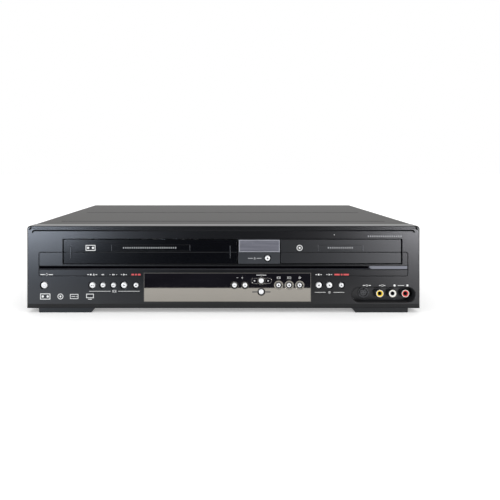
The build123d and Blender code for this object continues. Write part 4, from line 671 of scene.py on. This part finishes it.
@dataclass
class Stencil:
    """Flat printed shapes on an upright face, gathered into one thin mesh."""

    face: float = FRONT_Y       # Y of the face
    thickness: float = 0.05     # how far the shapes stand out of it
    sink: float = 0.03          # how far they reach in
    shapes: list[tuple[list[Point], ...]] = field(default_factory=list)

    def bar(self, x: float, z: float, width: float, height: float) -> None:
        """A filled rectangle about its middle."""
        self.shapes.append((box_outline(x, z, width, height),))

    def disc(self, x: float, z: float, radius: float) -> None:
        """A filled circle."""
        self.shapes.append((circle_outline(x, z, radius),))

    def hoop(self, x: float, z: float, radius: float, line: float) -> None:
        """A circle drawn as a line."""
        self.shapes.append((circle_outline(x, z, radius), circle_outline(x, z, radius - line)))

    def frame(self, x: float, z: float, width: float, height: float, line: float) -> None:
        """A rectangle drawn as a line."""
        inner = box_outline(x, z, width - 2 * line, height - 2 * line)
        self.shapes.append((box_outline(x, z, width, height), inner))

    def triangle(self, x: float, z: float, size: float, turn: float) -> None:
        """A filled triangle with equal sides.

        Args:
            x: its middle.
            z: its level.
            size: about its side.
            turn: where its first corner points, in degrees from +X.
        """
        corners = [math.radians(turn + step * 120) for step in range(3)]
        reach = size * 0.58     # from the middle to a corner
        self.shapes.append(([(x + reach * math.cos(at), z + reach * math.sin(at)) for at in corners],))

    def sign(self, sign: Sign, x: float, z: float, size: float) -> None:
        """One sign.

        Args:
            sign: which one.
            x: its middle.
            z: its level.
            size: its height.
        """
        half = size / 2
        block = size * 0.8
        line = size * 0.12
        if sign is Sign.PLAY:
            self.triangle(x, z, size, 0)
        elif sign is Sign.STOP:
            self.bar(x, z, block, block)
        elif sign is Sign.RECORD:
            self.disc(x, z, half * 0.9)
        elif sign in (Sign.REWIND, Sign.FORWARD):
            for side in (-1, 1):
                self.triangle(x + side * half * 0.75, z, size * 0.9, 180 if sign is Sign.REWIND else 0)
        elif sign is Sign.EJECT:
            self.triangle(x, z + line, size * 0.9, 90)
            self.bar(x, z - half * 0.85, size, line * 1.5)
        elif sign is Sign.STOP_EJECT:
            self.bar(x - block, z, block, block)
            self.sign(Sign.EJECT, x + block, z, size)
        elif sign is Sign.POWER:
            self.hoop(x, z, half, line)
            self.bar(x, z + half, line, size * 0.6)
        elif sign in (Sign.MINUS, Sign.PLUS):
            self.bar(x, z, size, line * 1.4)
            if sign is Sign.PLUS:
                self.bar(x, z, line * 1.4, size)
        elif sign is Sign.DOT:
            self.disc(x, z, half)
        elif sign is Sign.TAPE:
            self.frame(x, z, size * 1.7, size, line)
            for side in (-1, 1):
                self.disc(x + side * size * 0.42, z, size * 0.2)
        elif sign is Sign.DISC:
            self.hoop(x, z, half, line)
            self.disc(x, z, half * 0.35)
        elif sign is Sign.DRIVE:
            self.frame(x, z, size * 1.7, size, line)
            self.bar(x - size * 0.15, z, block, line)
            self.disc(x + size * 0.55, z, line * 0.8)
        elif sign is Sign.SCREEN:
            self.frame(x, z + half * 0.2, size * 1.4, block, line)
            self.bar(x, z - half, size * 0.7, line)
        elif sign is Sign.PINS:
            self.hoop(x, z, half, line)
            for dx, dz in ((-0.2, 0.12), (0.2, 0.12), (-0.12, -0.2), (0.12, -0.2)):
                self.disc(x + dx * size, z + dz * size, size * 0.08)

    def label(self, sign: Sign, x: float, z: float, size: float, width: float, weight: float = 0.34) -> None:
        """A sign in the middle of a plain bar that fills a label's width.

        Args:
            sign: the sign.
            x: its middle.
            z: its level.
            size: the sign's height.
            width: from end to end of the bar.
            weight: the bar's height, as a share of the sign's.
        """
        self.sign(sign, x, z, size)
        room = size * (1.7 if sign in (Sign.STOP_EJECT, Sign.REWIND, Sign.FORWARD) else 0.85)
        reach = width / 2 - room
        least = 0.4
        if reach > least:
            for side in (-1, 1):
                self.bar(x + side * (room + reach / 2), z, reach, size * weight)

    def build(self, name: str, finish: Finish) -> Object:
        """The thin closed mesh of every shape, as one object.

        Args:
            name: the object's name.
            finish: its ink or material.

        Returns:
            The object.
        """
        bm = bmesh.new()

        def bridge(first: list, second: list) -> None:
            """Faces between two closed loops of as many points."""
            for i in range(len(first)):
                bm.faces.new((first[i - 1], first[i], second[i], second[i - 1]))

        for outlines in self.shapes:
            near, far = (
                [[bm.verts.new((mm(x), mm(y), mm(z))) for x, z in outline] for outline in outlines]
                for y in (self.face - self.thickness, self.face + self.sink)
            )
            for layer in (near, far):
                if len(layer) == 1:
                    bm.faces.new(layer[0])
                else:
                    bridge(*layer)
            for front, back in zip(near, far):
                bridge(front, back)
        bmesh.ops.recalc_face_normals(bm, faces=bm.faces)
        mesh = bpy.data.meshes.new(name)
        bm.to_mesh(mesh)
        bm.free()
        return new_object(name, mesh, finish.material())


# Rows of equal small pieces, by geometry nodes

class RowOfCopies:
    """A node tree that lays a box again and again along a straight row, for ticks, ribs and contacts."""

    def __init__(self) -> None:
        """Builds the tree once."""
        nodes = Nodes(bpy.data.node_groups.new("row_of_copies", "GeometryNodeTree"))
        face = nodes.tree.interface
        face.new_socket("Geometry", in_out="INPUT", socket_type="NodeSocketGeometry")
        kinds = {"Count": "Int", "Start": "Vector", "Step": "Vector", "Size": "Vector", "Finish": "Material"}
        self.inputs: dict[str, str] = {
            name: face.new_socket(name, in_out="INPUT", socket_type=f"NodeSocket{kind}").identifier
            for name, kind in kinds.items()
        }
        face.new_socket("Geometry", in_out="OUTPUT", socket_type="NodeSocketGeometry")
        given = nodes.add("NodeGroupInput").outputs
        line = nodes.add(
            "GeometryNodeMeshLine",
            {"Count": given["Count"], "Start Location": given["Start"], "Offset": given["Step"]},
            mode="OFFSET",
        )
        block = nodes.add("GeometryNodeMeshCube", {"Size": given["Size"]})
        copies = nodes.add("GeometryNodeInstanceOnPoints", {"Points": line, "Instance": block})
        solid = nodes.add("GeometryNodeRealizeInstances", {"Geometry": copies})
        dressed = nodes.add("GeometryNodeSetMaterial", {"Geometry": solid, "Material": given["Finish"]})
        nodes.add("NodeGroupOutput", {"Geometry": dressed})
        self.tree = nodes.tree

    def build(self, name: str, count: int, start: Place, pitch: float, size: Place, finish: Finish) -> Object:
        """One row along X as a plain mesh.

        Args:
            name: the piece's name.
            count: how many copies.
            start: middle of the first copy.
            pitch: from one copy to the next.
            size: each copy's sides.
            finish: what the copies are made of.

        Returns:
            The object, at the origin, without a modifier.
        """
        holder = new_object(f"{name}_maker", bpy.data.meshes.new(f"{name}_maker"))
        modifier = holder.modifiers.new("row", "NODES")
        modifier.node_group = self.tree
        values = {
            "Count": count, "Start": tuple(map(mm, start)), "Step": (mm(pitch), 0.0, 0.0),
            "Size": tuple(map(mm, size)), "Finish": finish.material(),
        }
        for key, value in values.items():
            modifier[self.inputs[key]] = value
        graph = bpy.context.evaluated_depsgraph_get()
        mesh = bpy.data.meshes.new_from_object(holder.evaluated_get(graph), depsgraph=graph)
        bpy.data.objects.remove(holder)
        return new_object(name, mesh)


# Sub-assemblies

@dataclass
class SubAssembly:
    """A group of pieces that belong together and the bodies that they ride on."""

    title: str
    made: list[tuple[Object, str]] = field(default_factory=list)

    def keep(self, piece: Object, body: str = "casing") -> None:
        """Notes a finished piece and lets it ride on its body."""
        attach(piece, body)
        self.made.append((piece, body))

    def report(self) -> None:
        """Logs each piece with its body and its number of faces."""
        for piece, body in self.made:
            LOG.info("%s: %s rides on %s, %d faces", self.title, piece.name, body, len(piece.data.polygons))


@dataclass
class Casing(SubAssembly):
    """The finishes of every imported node."""

    collar_reach: float = 2.1   # how far a key's collar reaches beyond its cap
    cap_margin: float = 0.15

    def key_finish(self, node: str) -> RoundFinish:
        """Pearl lacquer on a key's cap, and painted shade on the collar that shows round it."""
        x, z, width, _ = seen_from_front(node)
        return RoundFinish(
            # the near-black outer colour is painted shade on the collar, in the gap round the cap
            f"pearl_lacquered_abs_{node}", "060607", 0.6, depth=0.002, edge=0.3, centres=((x, z),),
            split=width / 2 - self.collar_reach + self.cap_margin, inner_colour="E9EAEC",
            inner_roughness=0.24,
        )

    def dress(self, nodes: dict[str, Object]) -> None:
        """Gives each node its finish, and each key one fitted to its cap.

        Args:
            nodes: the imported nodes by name.
        """
        for name, node in nodes.items():
            finish = self.key_finish(name) if name.endswith("_button") else NODE_FINISHES[name]
            node.data.materials.clear()
            node.data.materials.append(finish.material())
            LOG.info("%s: %s is %s", self.title, name, finish.name)


@dataclass
class FrontPrint(SubAssembly):
    """Signs and lines on the front, the flap and the tray's front."""

    label_level: float = 42.2
    socket_label_level: float = 30.2
    media_level: float = 18.0
    moving_level: float = 71.7  # on the flap and the tray's front
    tick: Place = (1.1, 0.08, 1.7)
    tick_pitch: float = 2.4

    def key_labels(self, white: Stencil) -> None:
        """Labels over the keys, and the lines that join each group of them.

        Args:
            white: the print that they belong to.
        """
        for sign, x, size, width in (
            (Sign.POWER, -195.4, 2.4, 14.0), (Sign.STOP_EJECT, -145.0, 2.1, 11.0),
            (Sign.REWIND, -133.3, 2.0, 6.0), (Sign.FORWARD, -121.7, 2.0, 8.0), (Sign.PLAY, -110.0, 2.3, 6.4),
            (Sign.STOP, 105.3, 2.2, 7.0), (Sign.PLAY, 117.0, 2.3, 6.4),
        ):
            white.label(sign, x, self.label_level, size, width)
        gap = 4.2               # from the line's middle to either half
        height = 0.45
        for start, end, z, sign in ((-148.6, -92.6, 23.8, Sign.TAPE), (101.0, 133.6, 22.6, Sign.DISC)):
            middle = (start + end) / 2
            for a, b in ((start, middle - gap), (middle + gap, end)):
                white.bar((a + b) / 2, z, b - a, height)
            white.sign(sign, middle, z, 2.5)

    def socket_labels(self, white: Stencil) -> None:
        """Labels over the front sockets, and the dot on the brow.

        Args:
            white: the print that they belong to.
        """
        level = self.socket_label_level
        white.label(Sign.PINS, 158.6, level, 2.2, 9.0)
        white.label(Sign.SCREEN, 175.6, level, 2.0, 7.0)
        white.sign(Sign.DOT, 189.2, level, 2.5)
        white.bar(196.3, level, 7.0, 0.5)
        white.sign(Sign.STOP, 203.4, level, 2.6)
        white.sign(Sign.DOT, 122.6, 86.2, 0.9)

    def socket_rings(self) -> None:
        """Painted highlights on the rim and the raised cross of the four-pin socket, deep in its pocket."""
        rings = Stencil(FRONT_Y + 13.0)
        x, z = 158.0, PHONO_LEVEL
        rings.hoop(x, z, 5.7, 0.3)
        rings.hoop(x, z, 3.75, 0.25)
        rings.sign(Sign.PLUS, x, z, 3.0)
        self.keep(rings.build("four_pin_rings", HIGHLIGHT_LINE))

    def casing_marks(self) -> None:
        """White, red and grey marks on the fixed front."""
        white = Stencil()
        self.key_labels(white)
        self.socket_labels(white)
        for sign, x, size in (
            (Sign.TAPE, -197.0, 6.6), (Sign.DISC, -180.2, 6.4), (Sign.DRIVE, -165.0, 5.4),
            (Sign.SCREEN, -147.5, 6.0),
        ):
            white.sign(sign, x, self.media_level, size)
        red = Stencil()
        heavy = 0.75
        for x, width in ((-96.7, 10.0), (130.7, 16.0)):
            red.label(Sign.RECORD, x, self.label_level, 2.4, width, heavy)
        grey = Stencil()
        grey.label(Sign.EJECT, 34.6, 60.2, 2.4, 15.0)
        self.socket_rings()
        self.keep(white.build("front_print_white", WHITE_INK))
        self.keep(red.build("front_print_red", RED_INK))
        self.keep(grey.build("centre_print", GREY_INK))

    def moving_marks(self, row: RowOfCopies) -> None:
        """Signs on the flap and the tray's front, and plain rows of ticks in the words' places.

        Args:
            row: the maker of the ticks.
        """
        for body, sign, x, size in (("flap", Sign.TAPE, -147.0, 6.4), ("tray", Sign.DISC, 84.3, 6.6)):
            mark = Stencil(MOVING_FACE_Y)
            mark.sign(sign, x, self.moving_level, size)
            self.keep(mark.build(f"{body}_print", WHITE_INK), body)
        for name, body, x, y, z, count in (
            ("flap_ticks", "flap", -110.4, MOVING_FACE_Y, 71.8, 25),
            ("tray_ticks", "tray", 116.1, MOVING_FACE_Y, 71.8, 12),
            ("brow_ticks", "casing", 160.3, FRONT_Y, 84.6, 16),
        ):
            self.keep(row.build(name, count, (x, y, z), self.tick_pitch, self.tick, GREY_INK), body)

    def highlight_lines(self) -> None:
        """Painted highlights along the edges of the flap's two ridges and beside the labels."""
        for name, body, xs, y, z, width, height in (
            ("flap_ridge_lines", "flap", (-168.9, 7.5), FRONT_Y, 67.3, 0.4, 14.0),
            ("flap_label_lines", "flap", (-123.8, -37.1), MOVING_FACE_Y, self.moving_level, 0.35, 6.6),
            ("tray_label_lines", "tray", (105.0, 154.6), MOVING_FACE_Y, self.moving_level, 0.35, 6.6),
        ):
            lines = Stencil(y)
            for x in xs:
                lines.bar(x, z, width, height)
            self.keep(lines.build(name, HIGHLIGHT_LINE), body)


@dataclass
class KeySigns(SubAssembly):
    """A dark sign on the crown of each key."""

    crown: float = FRONT_Y + 0.12
    row: float = 30.3           # level of every key but the open/close key
    open_close_level: float = 60.2

    def build(self) -> None:
        """Every key's sign, and the ring of the power key."""
        for name, sign, x, size in (
            ("stop_eject", Sign.STOP_EJECT, -145.0, 1.2), ("rewind", Sign.REWIND, -133.35, 1.5),
            ("fast_forward", Sign.FORWARD, -121.7, 1.5), ("play_tape", Sign.PLAY, -110.05, 2.2),
            ("record_tape", Sign.DOT, -96.75, 1.6), ("channel_down", Sign.MINUS, 12.3, 1.9),
            ("channel_up", Sign.PLUS, 23.95, 1.9), ("select_tape", Sign.DOT, 61.1, 1.9),
            ("select_hard_disk", Sign.DOT, 72.75, 1.9), ("select_disc", Sign.DOT, 84.4, 1.9),
            ("stop_disc", Sign.STOP, 105.7, 2.0), ("play_disc", Sign.PLAY, 117.35, 2.2),
            ("record_disc", Sign.DOT, 130.65, 1.6), ("open_close", Sign.DOT, 48.9, 1.8),
        ):
            mark = Stencil(self.crown, sink=0.12)
            mark.sign(sign, x, self.open_close_level if name == "open_close" else self.row, size)
            self.keep(mark.build(f"{name}_sign", DARK_INK), f"{name}_key")
        ring = Stencil(self.crown, sink=0.25)
        ring.hoop(-198.3, self.row, 1.5, 0.25)
        self.keep(ring.build("power_sign", GREY_INK), "power_key")


@dataclass
class WindowTrim(SubAssembly):
    """Window key signs, the copy key's bright frame, and painted highlights on the panes' edges."""

    label_level: float = 38.7
    copy_level: float = 35.3
    edge_gap: float = 0.1       # from a pane's outline to its edge's

    def build(self) -> None:
        """The printed signs, the raised frame and the painted highlights on the panes' edges."""
        white = Stencil()
        for sign, x, size in (
            (Sign.TAPE, 61.1, 2.4), (Sign.DRIVE, 72.75, 2.4), (Sign.DISC, 84.4, 2.6), (Sign.MINUS, 15.4, 2.1),
            (Sign.PLUS, 20.9, 2.1),
        ):
            white.sign(sign, x, self.label_level, size)
        white.label(Sign.SCREEN, 41.9, 41.6, 1.8, 11.0)
        for x, turn in ((34.4, 180), (49.4, 0)):
            white.triangle(x, self.copy_level, 1.9, turn)
        self.keep(white.build("window_print", WHITE_INK))
        dark = Stencil()
        for x in (34.6, 49.2):
            dark.bar(x, 23.0, 5.6, 1.1)
        self.keep(dark.build("window_print_dark", DARK_INK))
        frame = Stencil(thickness=0.1, sink=0.2)
        outer, inner = (
            pill_outline(42.0, self.copy_level, width, height) for width, height in ((23.0, 6.4), (22.0, 5.4))
        )
        frame.shapes.append((outer, inner))
        self.keep(frame.build("copy_key_frame", BRIGHT_TRIM))
        for name, node, back, line, finish in (
            ("window_edge", "display_window", 0.0, 0.45, WINDOW_EDGE_HIGHLIGHT),
            ("sensor_edge", "sensor_window", 0.1, 0.5, SENSOR_EDGE_HIGHLIGHT),
        ):
            x, z, width, height = seen_from_front(node)
            edge = Stencil(FRONT_Y + back, thickness=0.06, sink=0.08)
            edge.frame(x, z, width - self.edge_gap, height - self.edge_gap, line)
            self.keep(edge.build(name, finish))


@dataclass
class SensorRibs(SubAssembly):
    """The fine upright ribs moulded into the sensor window's face."""

    left: float = 18.6
    right: float = 60.8
    low: float = 68.4
    high: float = 79.2
    pitch: float = 1.1
    width: float = 0.35
    depth: float = 0.12

    def build(self, row: RowOfCopies) -> None:
        """The ribs as one row.

        Args:
            row: the maker of the row.
        """
        count = int((self.right - self.left) / self.pitch) + 1
        start = (self.left, FRONT_Y + self.depth, (self.low + self.high) / 2)
        size = (self.width, self.depth, self.high - self.low)
        self.keep(row.build("sensor_ribs", count, start, self.pitch, size, SENSOR_ACRYLIC))


@dataclass
class RearContacts(SubAssembly):
    """Plated contacts in the two wide sockets at the back."""

    sockets: tuple[Point, ...] = ((98.0, 32.0), (98.0, 56.0))
    rows: tuple[Point, ...] = ((-17.0, 2.4), (-19.0, -2.4))     # each row's start, from the socket's middle
    pitch: float = 3.8
    count: int = 10
    contact: Place = (0.5, 3.0, 2.2)
    inset: float = 9.2          # their middle, from the back of the rear panel

    def build(self, row: RowOfCopies) -> None:
        """Two rows of contacts for each socket.

        Args:
            row: the maker of the rows.
        """
        for index, (x, z) in enumerate(self.sockets):
            for which, (first, rise) in enumerate(self.rows):
                name = f"wide_socket_contacts_{index}_{which}"
                start = (x + first, REAR_Y - self.inset, z + rise)
                made = row.build(name, self.count, start, self.pitch, self.contact, CONTACT_GOLD)
                self.keep(made)


# Studio

@dataclass(frozen=True)
class Lamp:
    """A soft box that looks at a point. Its places and sizes are in metres."""

    name: str
    where: Place
    target: Place
    size: Point
    glow: float                 # radiance, where the surround has 1
    colour: str
    use: LightUse

    def build(self) -> Object:
        """Adds the lamp to the scene.

        Returns:
            The lamp.
        """
        data = bpy.data.lights.new(self.name, "AREA")
        data.shape = "RECTANGLE"
        data.size, data.size_y = self.size
        data.energy = self.glow * math.pi * self.size[0] * self.size[1]
        data.color = linear(self.colour)[:3]
        lamp = bpy.data.objects.new(self.name, data)
        lamp.location = self.where
        aim = Vector(self.target) - Vector(self.where)
        lamp.rotation_euler = aim.to_track_quat("-Z", "Y").to_euler()
        lamp.visible_glossy = self.use is LightUse.SHEEN
        lamp.visible_diffuse = self.use is LightUse.FILL
        bpy.context.scene.collection.objects.link(lamp)
        return lamp


SOFTBOX_LEFT = Lamp(
    "softbox_left", (-0.77, -1.0, 0.12), (-0.77, 0.0, 0.12), (0.80, 0.22), 36.0, "E3EEFF", LightUse.SHEEN
)
SOFTBOX_RIGHT = Lamp(
    "softbox_right", (0.64, -1.0, 0.12), (0.64, 0.0, 0.12), (0.38, 0.22), 37.0, "F8F8FF", LightUse.SHEEN
)
FILL_FRONT = Lamp("fill_front", (0.0, -1.3, 0.5), (0.0, -0.17, 0.0), (1.6, 0.7), 0.6, "FFFFFF", LightUse.FILL)


@dataclass
class Studio:
    """A pale floor, soft light, dark cloths that the front mirrors, and the camera."""

    table_half: float = 9000.0
    table_glow: float = 0.29
    pale_strip: float = 126.0   # the floor that the front mirrors, before the near cloth
    near_cloth: float = 124.0   # that cloth's depth
    cut_corner: float = 157.0   # depth at which the far cloth's cut corner meets the near cloth's right end
    cloth_half: float = 900.0
    cloth_right: float = 234.0  # right end of the near cloth, past which the strip mirrors the floor
    cloth_lift: float = 0.6
    hung_y: float = -1900.0
    hung_height: float = 1500.0

    camera_x: float = -4.0
    camera_back: float = 637.3
    camera_height: float = 162.6
    sensor: float = 36.0
    lens: float = 41.5
    shift_x: float = 0.0604     # as a share of the sensor
    shift_y: float = -0.1686

    def camera(self) -> None:
        """Level, looking along +Y, shifted to the photograph's framing."""
        data = bpy.data.cameras.new("camera")
        data.sensor_width = self.sensor
        data.lens = self.lens
        data.shift_x = self.shift_x
        data.shift_y = self.shift_y
        data.clip_start = 0.01
        camera = bpy.data.objects.new("camera", data)
        camera.location = (mm(self.camera_x), mm(FRONT_Y - self.camera_back), mm(self.camera_height))
        camera.rotation_euler = (math.radians(90), 0, 0)
        bpy.context.scene.collection.objects.link(camera)
        bpy.context.scene.camera = camera

    def sheet(self, name: str, points: list[Place], finish: Finish) -> Object:
        """A flat sheet of the stage.

        Args:
            name: its name.
            points: its corners.
            finish: what it is made of.

        Returns:
            The object.
        """
        mesh = bpy.data.meshes.new(name)
        mesh.from_pydata([tuple(map(mm, point)) for point in points], [], [tuple(range(len(points)))])
        made = new_object(name, mesh, finish.material())
        return made

    def floor(self) -> None:
        """A wide matt paper table, lit a little from below so that shadows on it stay weak."""
        far = self.table_half
        paper = Finish("matt_paper_floor", "F6F6F6", 0.9, grain=40.0, depth=0.002, mottle=0.01, specular=0.1)
        nodes = Nodes(paper.material().node_tree)
        nodes.feed(nodes.shader, {"Emission Color": linear("FFFFFF"), "Emission Strength": self.table_glow})
        self.sheet("floor", [(-far, -far, 0), (far, -far, 0), (far, far, 0), (-far, far, 0)], paper)

    def flag(self, name: str, colour: str, points: list[Place]) -> None:
        """A dark felt cloth, seen only by mirrors and gloss.

        Args:
            name: its name.
            colour: its colour.
            points: its corners.
        """
        felt = Finish(
            f"felt_{name}", colour, 0.9, grain=5.0, depth=0.01, specular=0.0, mottle=0.5, blotch=60.0
        )
        cloth = self.sheet(name, points, felt)
        for ray in ("camera", "diffuse", "shadow", "transmission"):
            setattr(cloth, f"visible_{ray}", False)

    def flags(self) -> None:
        """Two dark cloths on the floor, short of the recorder, and one upright behind the camera."""
        near = FRONT_Y - self.pale_strip
        middle = near - self.near_cloth
        corner = near - self.cut_corner
        side, right, lift = self.cloth_half, self.cloth_right, self.cloth_lift
        far, top = self.hung_y, self.hung_height
        self.flag("near_cloth", "2E2E3A", [
            (-side, near, lift), (-side, middle, lift), (right, middle, lift), (right, near, lift),
        ])
        self.flag("far_cloth", "100D14", [
            (-side, middle, lift), (-side, far, lift), (side, far, lift), (right, corner, lift),
            (right, middle, lift),
        ])
        self.flag("hung_cloth", "100D14", [
            (-side, far, 0.0), (-side, far, top), (side, far, top), (side, far, 0.0),
        ])

    def shield(self, lamp: Object, node: Object) -> None:
        """Keeps a lamp's light off one node, as a small flag in front of the lamp does.

        Args:
            lamp: the lamp.
            node: the node that it doesn't light.
        """
        kept_off = bpy.data.collections.new(f"{lamp.name}_kept_off")
        kept_off.objects.link(node)
        kept_off.collection_objects[0].light_linking.link_state = "EXCLUDE"
        lamp.light_linking.receiver_collection = kept_off

    def surround(self) -> None:
        """An even white world."""
        world = bpy.data.worlds.new("surround")
        world.use_nodes = True
        sky = world.node_tree.nodes["Background"].inputs
        sky["Color"].default_value = linear("FFFFFF")
        sky["Strength"].default_value = 1.0
        bpy.context.scene.world = world
        bpy.context.scene.view_settings.view_transform = "Standard"

    def build(self, window: Object) -> None:
        """Everything round the recorder.

        Args:
            window: the display window, whose dishes would mirror the left lamp as white wedges.
        """
        self.surround()
        self.floor()
        self.flags()
        self.shield(SOFTBOX_LEFT.build(), window)
        SOFTBOX_RIGHT.build()
        FILL_FRONT.build()
        self.camera()


def main() -> None:
    """Builds the sub-assemblies in order and reports them."""
    logging.basicConfig(level=logging.INFO, format="%(message)s")
    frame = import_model()
    casing = Casing("casing")
    casing.dress(frame["nodes"])
    row = RowOfCopies()
    front = FrontPrint("front print")
    front.casing_marks()
    front.moving_marks(row)
    front.highlight_lines()
    keys = KeySigns("key signs")
    keys.build()
    window = WindowTrim("window trim")
    window.build()
    ribs = SensorRibs("sensor ribs")
    ribs.build(row)
    contacts = RearContacts("rear contacts")
    contacts.build(row)
    for part in (casing, front, keys, window, ribs, contacts):
        part.report()
    Studio().build(frame["nodes"]["display_window"])


if __name__ == "__main__":
    main()
